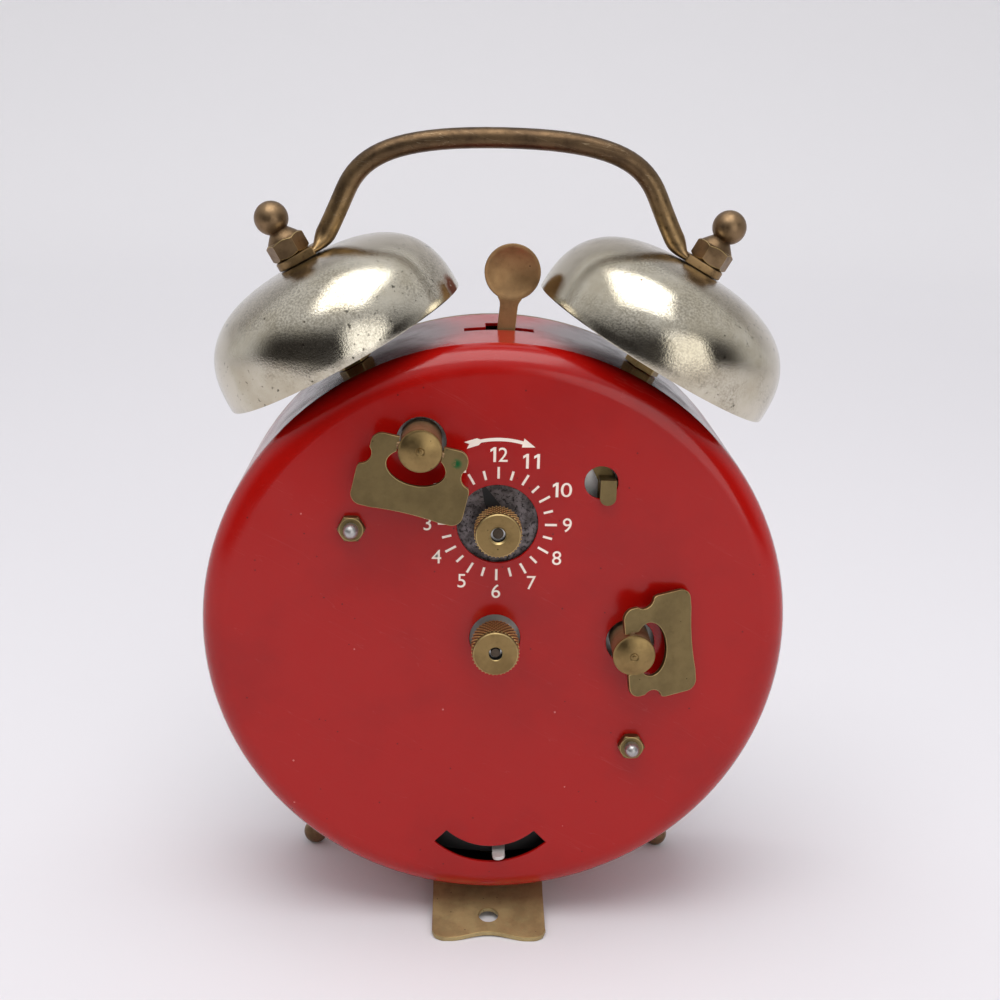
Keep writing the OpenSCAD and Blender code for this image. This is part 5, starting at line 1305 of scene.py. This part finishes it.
def make_paper():
    """Pale card with a painted shadow on the viewer's side that the camera doesn't see, and a glow behind that is seen
    but doesn't light.
    """
    f = Finish("pale sweep", linear(228, 225, 228), 0.0, 0.9)
    x, y, _ = f.apart(f.here())
    rays = f.node("LightPath").outputs
    # Painted shadow on the viewer's side of the sweep, for every ray but the camera's.
    shadow_on_viewer_side = f.math("MULTIPLY", f.step(y, 0.26, 0.5), f.step(x, -0.25, 0.1))
    mirrored = f.math("LESS_THAN", rays["Is Camera Ray"], 0.5)
    f.paint(f.math("MULTIPLY", shadow_on_viewer_side, mirrored), linear(60, 58, 58))
    seen = f.math("ADD", rays["Is Camera Ray"], rays["Is Glossy Ray"])
    seen = f.math("ADD", seen, rays["Is Transmission Ray"], clamp=True)
    glow = f.math("MULTIPLY", f.math("MULTIPLY", seen, f.step(y, 0.0, -1.2)), 0.24)
    return f.finish(Emission_Color=glow, Emission_Strength=1.0)


coat(sweep, make_paper())

# %% Light
world = bpy.data.worlds.new("studio")
bpy.context.scene.world = world
world.use_nodes = True
sky = world.node_tree.nodes["Background"].inputs
sky["Strength"].default_value = 0.85
bench = Bench(world.node_tree)
way = bench.apart(bench.node("TexCoord").outputs["Generated"])
room = bench.mix(bench.step(way["Y"], -0.2, 0.5), linear(225, 225, 228), linear(70, 68, 68))
room = bench.mix(bench.step(way["Z"], 0.25, 0.7), room, linear(245, 246, 250))
to_camera = bench.node("LightPath").outputs["Is Camera Ray"]
bench.put(sky["Color"], bench.mix(to_camera, room, linear(242, 240, 243)))


def soft_light(name, at, aim, size, watts):
    lamp = bpy.data.lights.new(name, "AREA")
    lamp.size = size
    lamp.energy = watts
    holder = bpy.data.objects.new(name, lamp)
    bpy.context.collection.objects.link(holder)
    holder.location = at
    holder.rotation_euler = (Vector(aim) - Vector(at)).to_track_quat("-Z", "Y").to_euler()


soft_light("overhead", (0.05, 0.2, 0.9), (0, 0, 0.06), 0.7, 5)
soft_light("window", (-0.45, 0.95, 0.26), (0, 0, 0.07), 0.7, 2.6)

# %% Camera
CAMERA_AT = on_back(7.30, 100.60, -240.91)
PITCH, YAW, ROLL = (math.radians(a) for a in (17.08, -1.82, 1.37))
FOCAL_PX = 1418.4
PHOTO_PX = 1000
SENSOR = 36.0
look = Vector((math.sin(YAW) * math.cos(PITCH), -math.cos(YAW) * math.cos(PITCH), -math.sin(PITCH)))
right = Vector((-math.cos(YAW), -math.sin(YAW), 0))
up = right.cross(look)
c, s = math.cos(ROLL), math.sin(ROLL)
right, up = c * right + s * up, c * up - s * right
camera = bpy.data.objects.new("camera", bpy.data.cameras.new("camera"))
bpy.context.collection.objects.link(camera)
camera.data.sensor_width = SENSOR
camera.data.lens = SENSOR * FOCAL_PX / PHOTO_PX
camera.data.clip_start = 0.01
camera.matrix_world = Matrix((right, up, -look)).transposed().to_4x4()
camera.location = CAMERA_AT
bpy.context.scene.camera = camera
bpy.context.scene.view_settings.view_transform = "Standard"
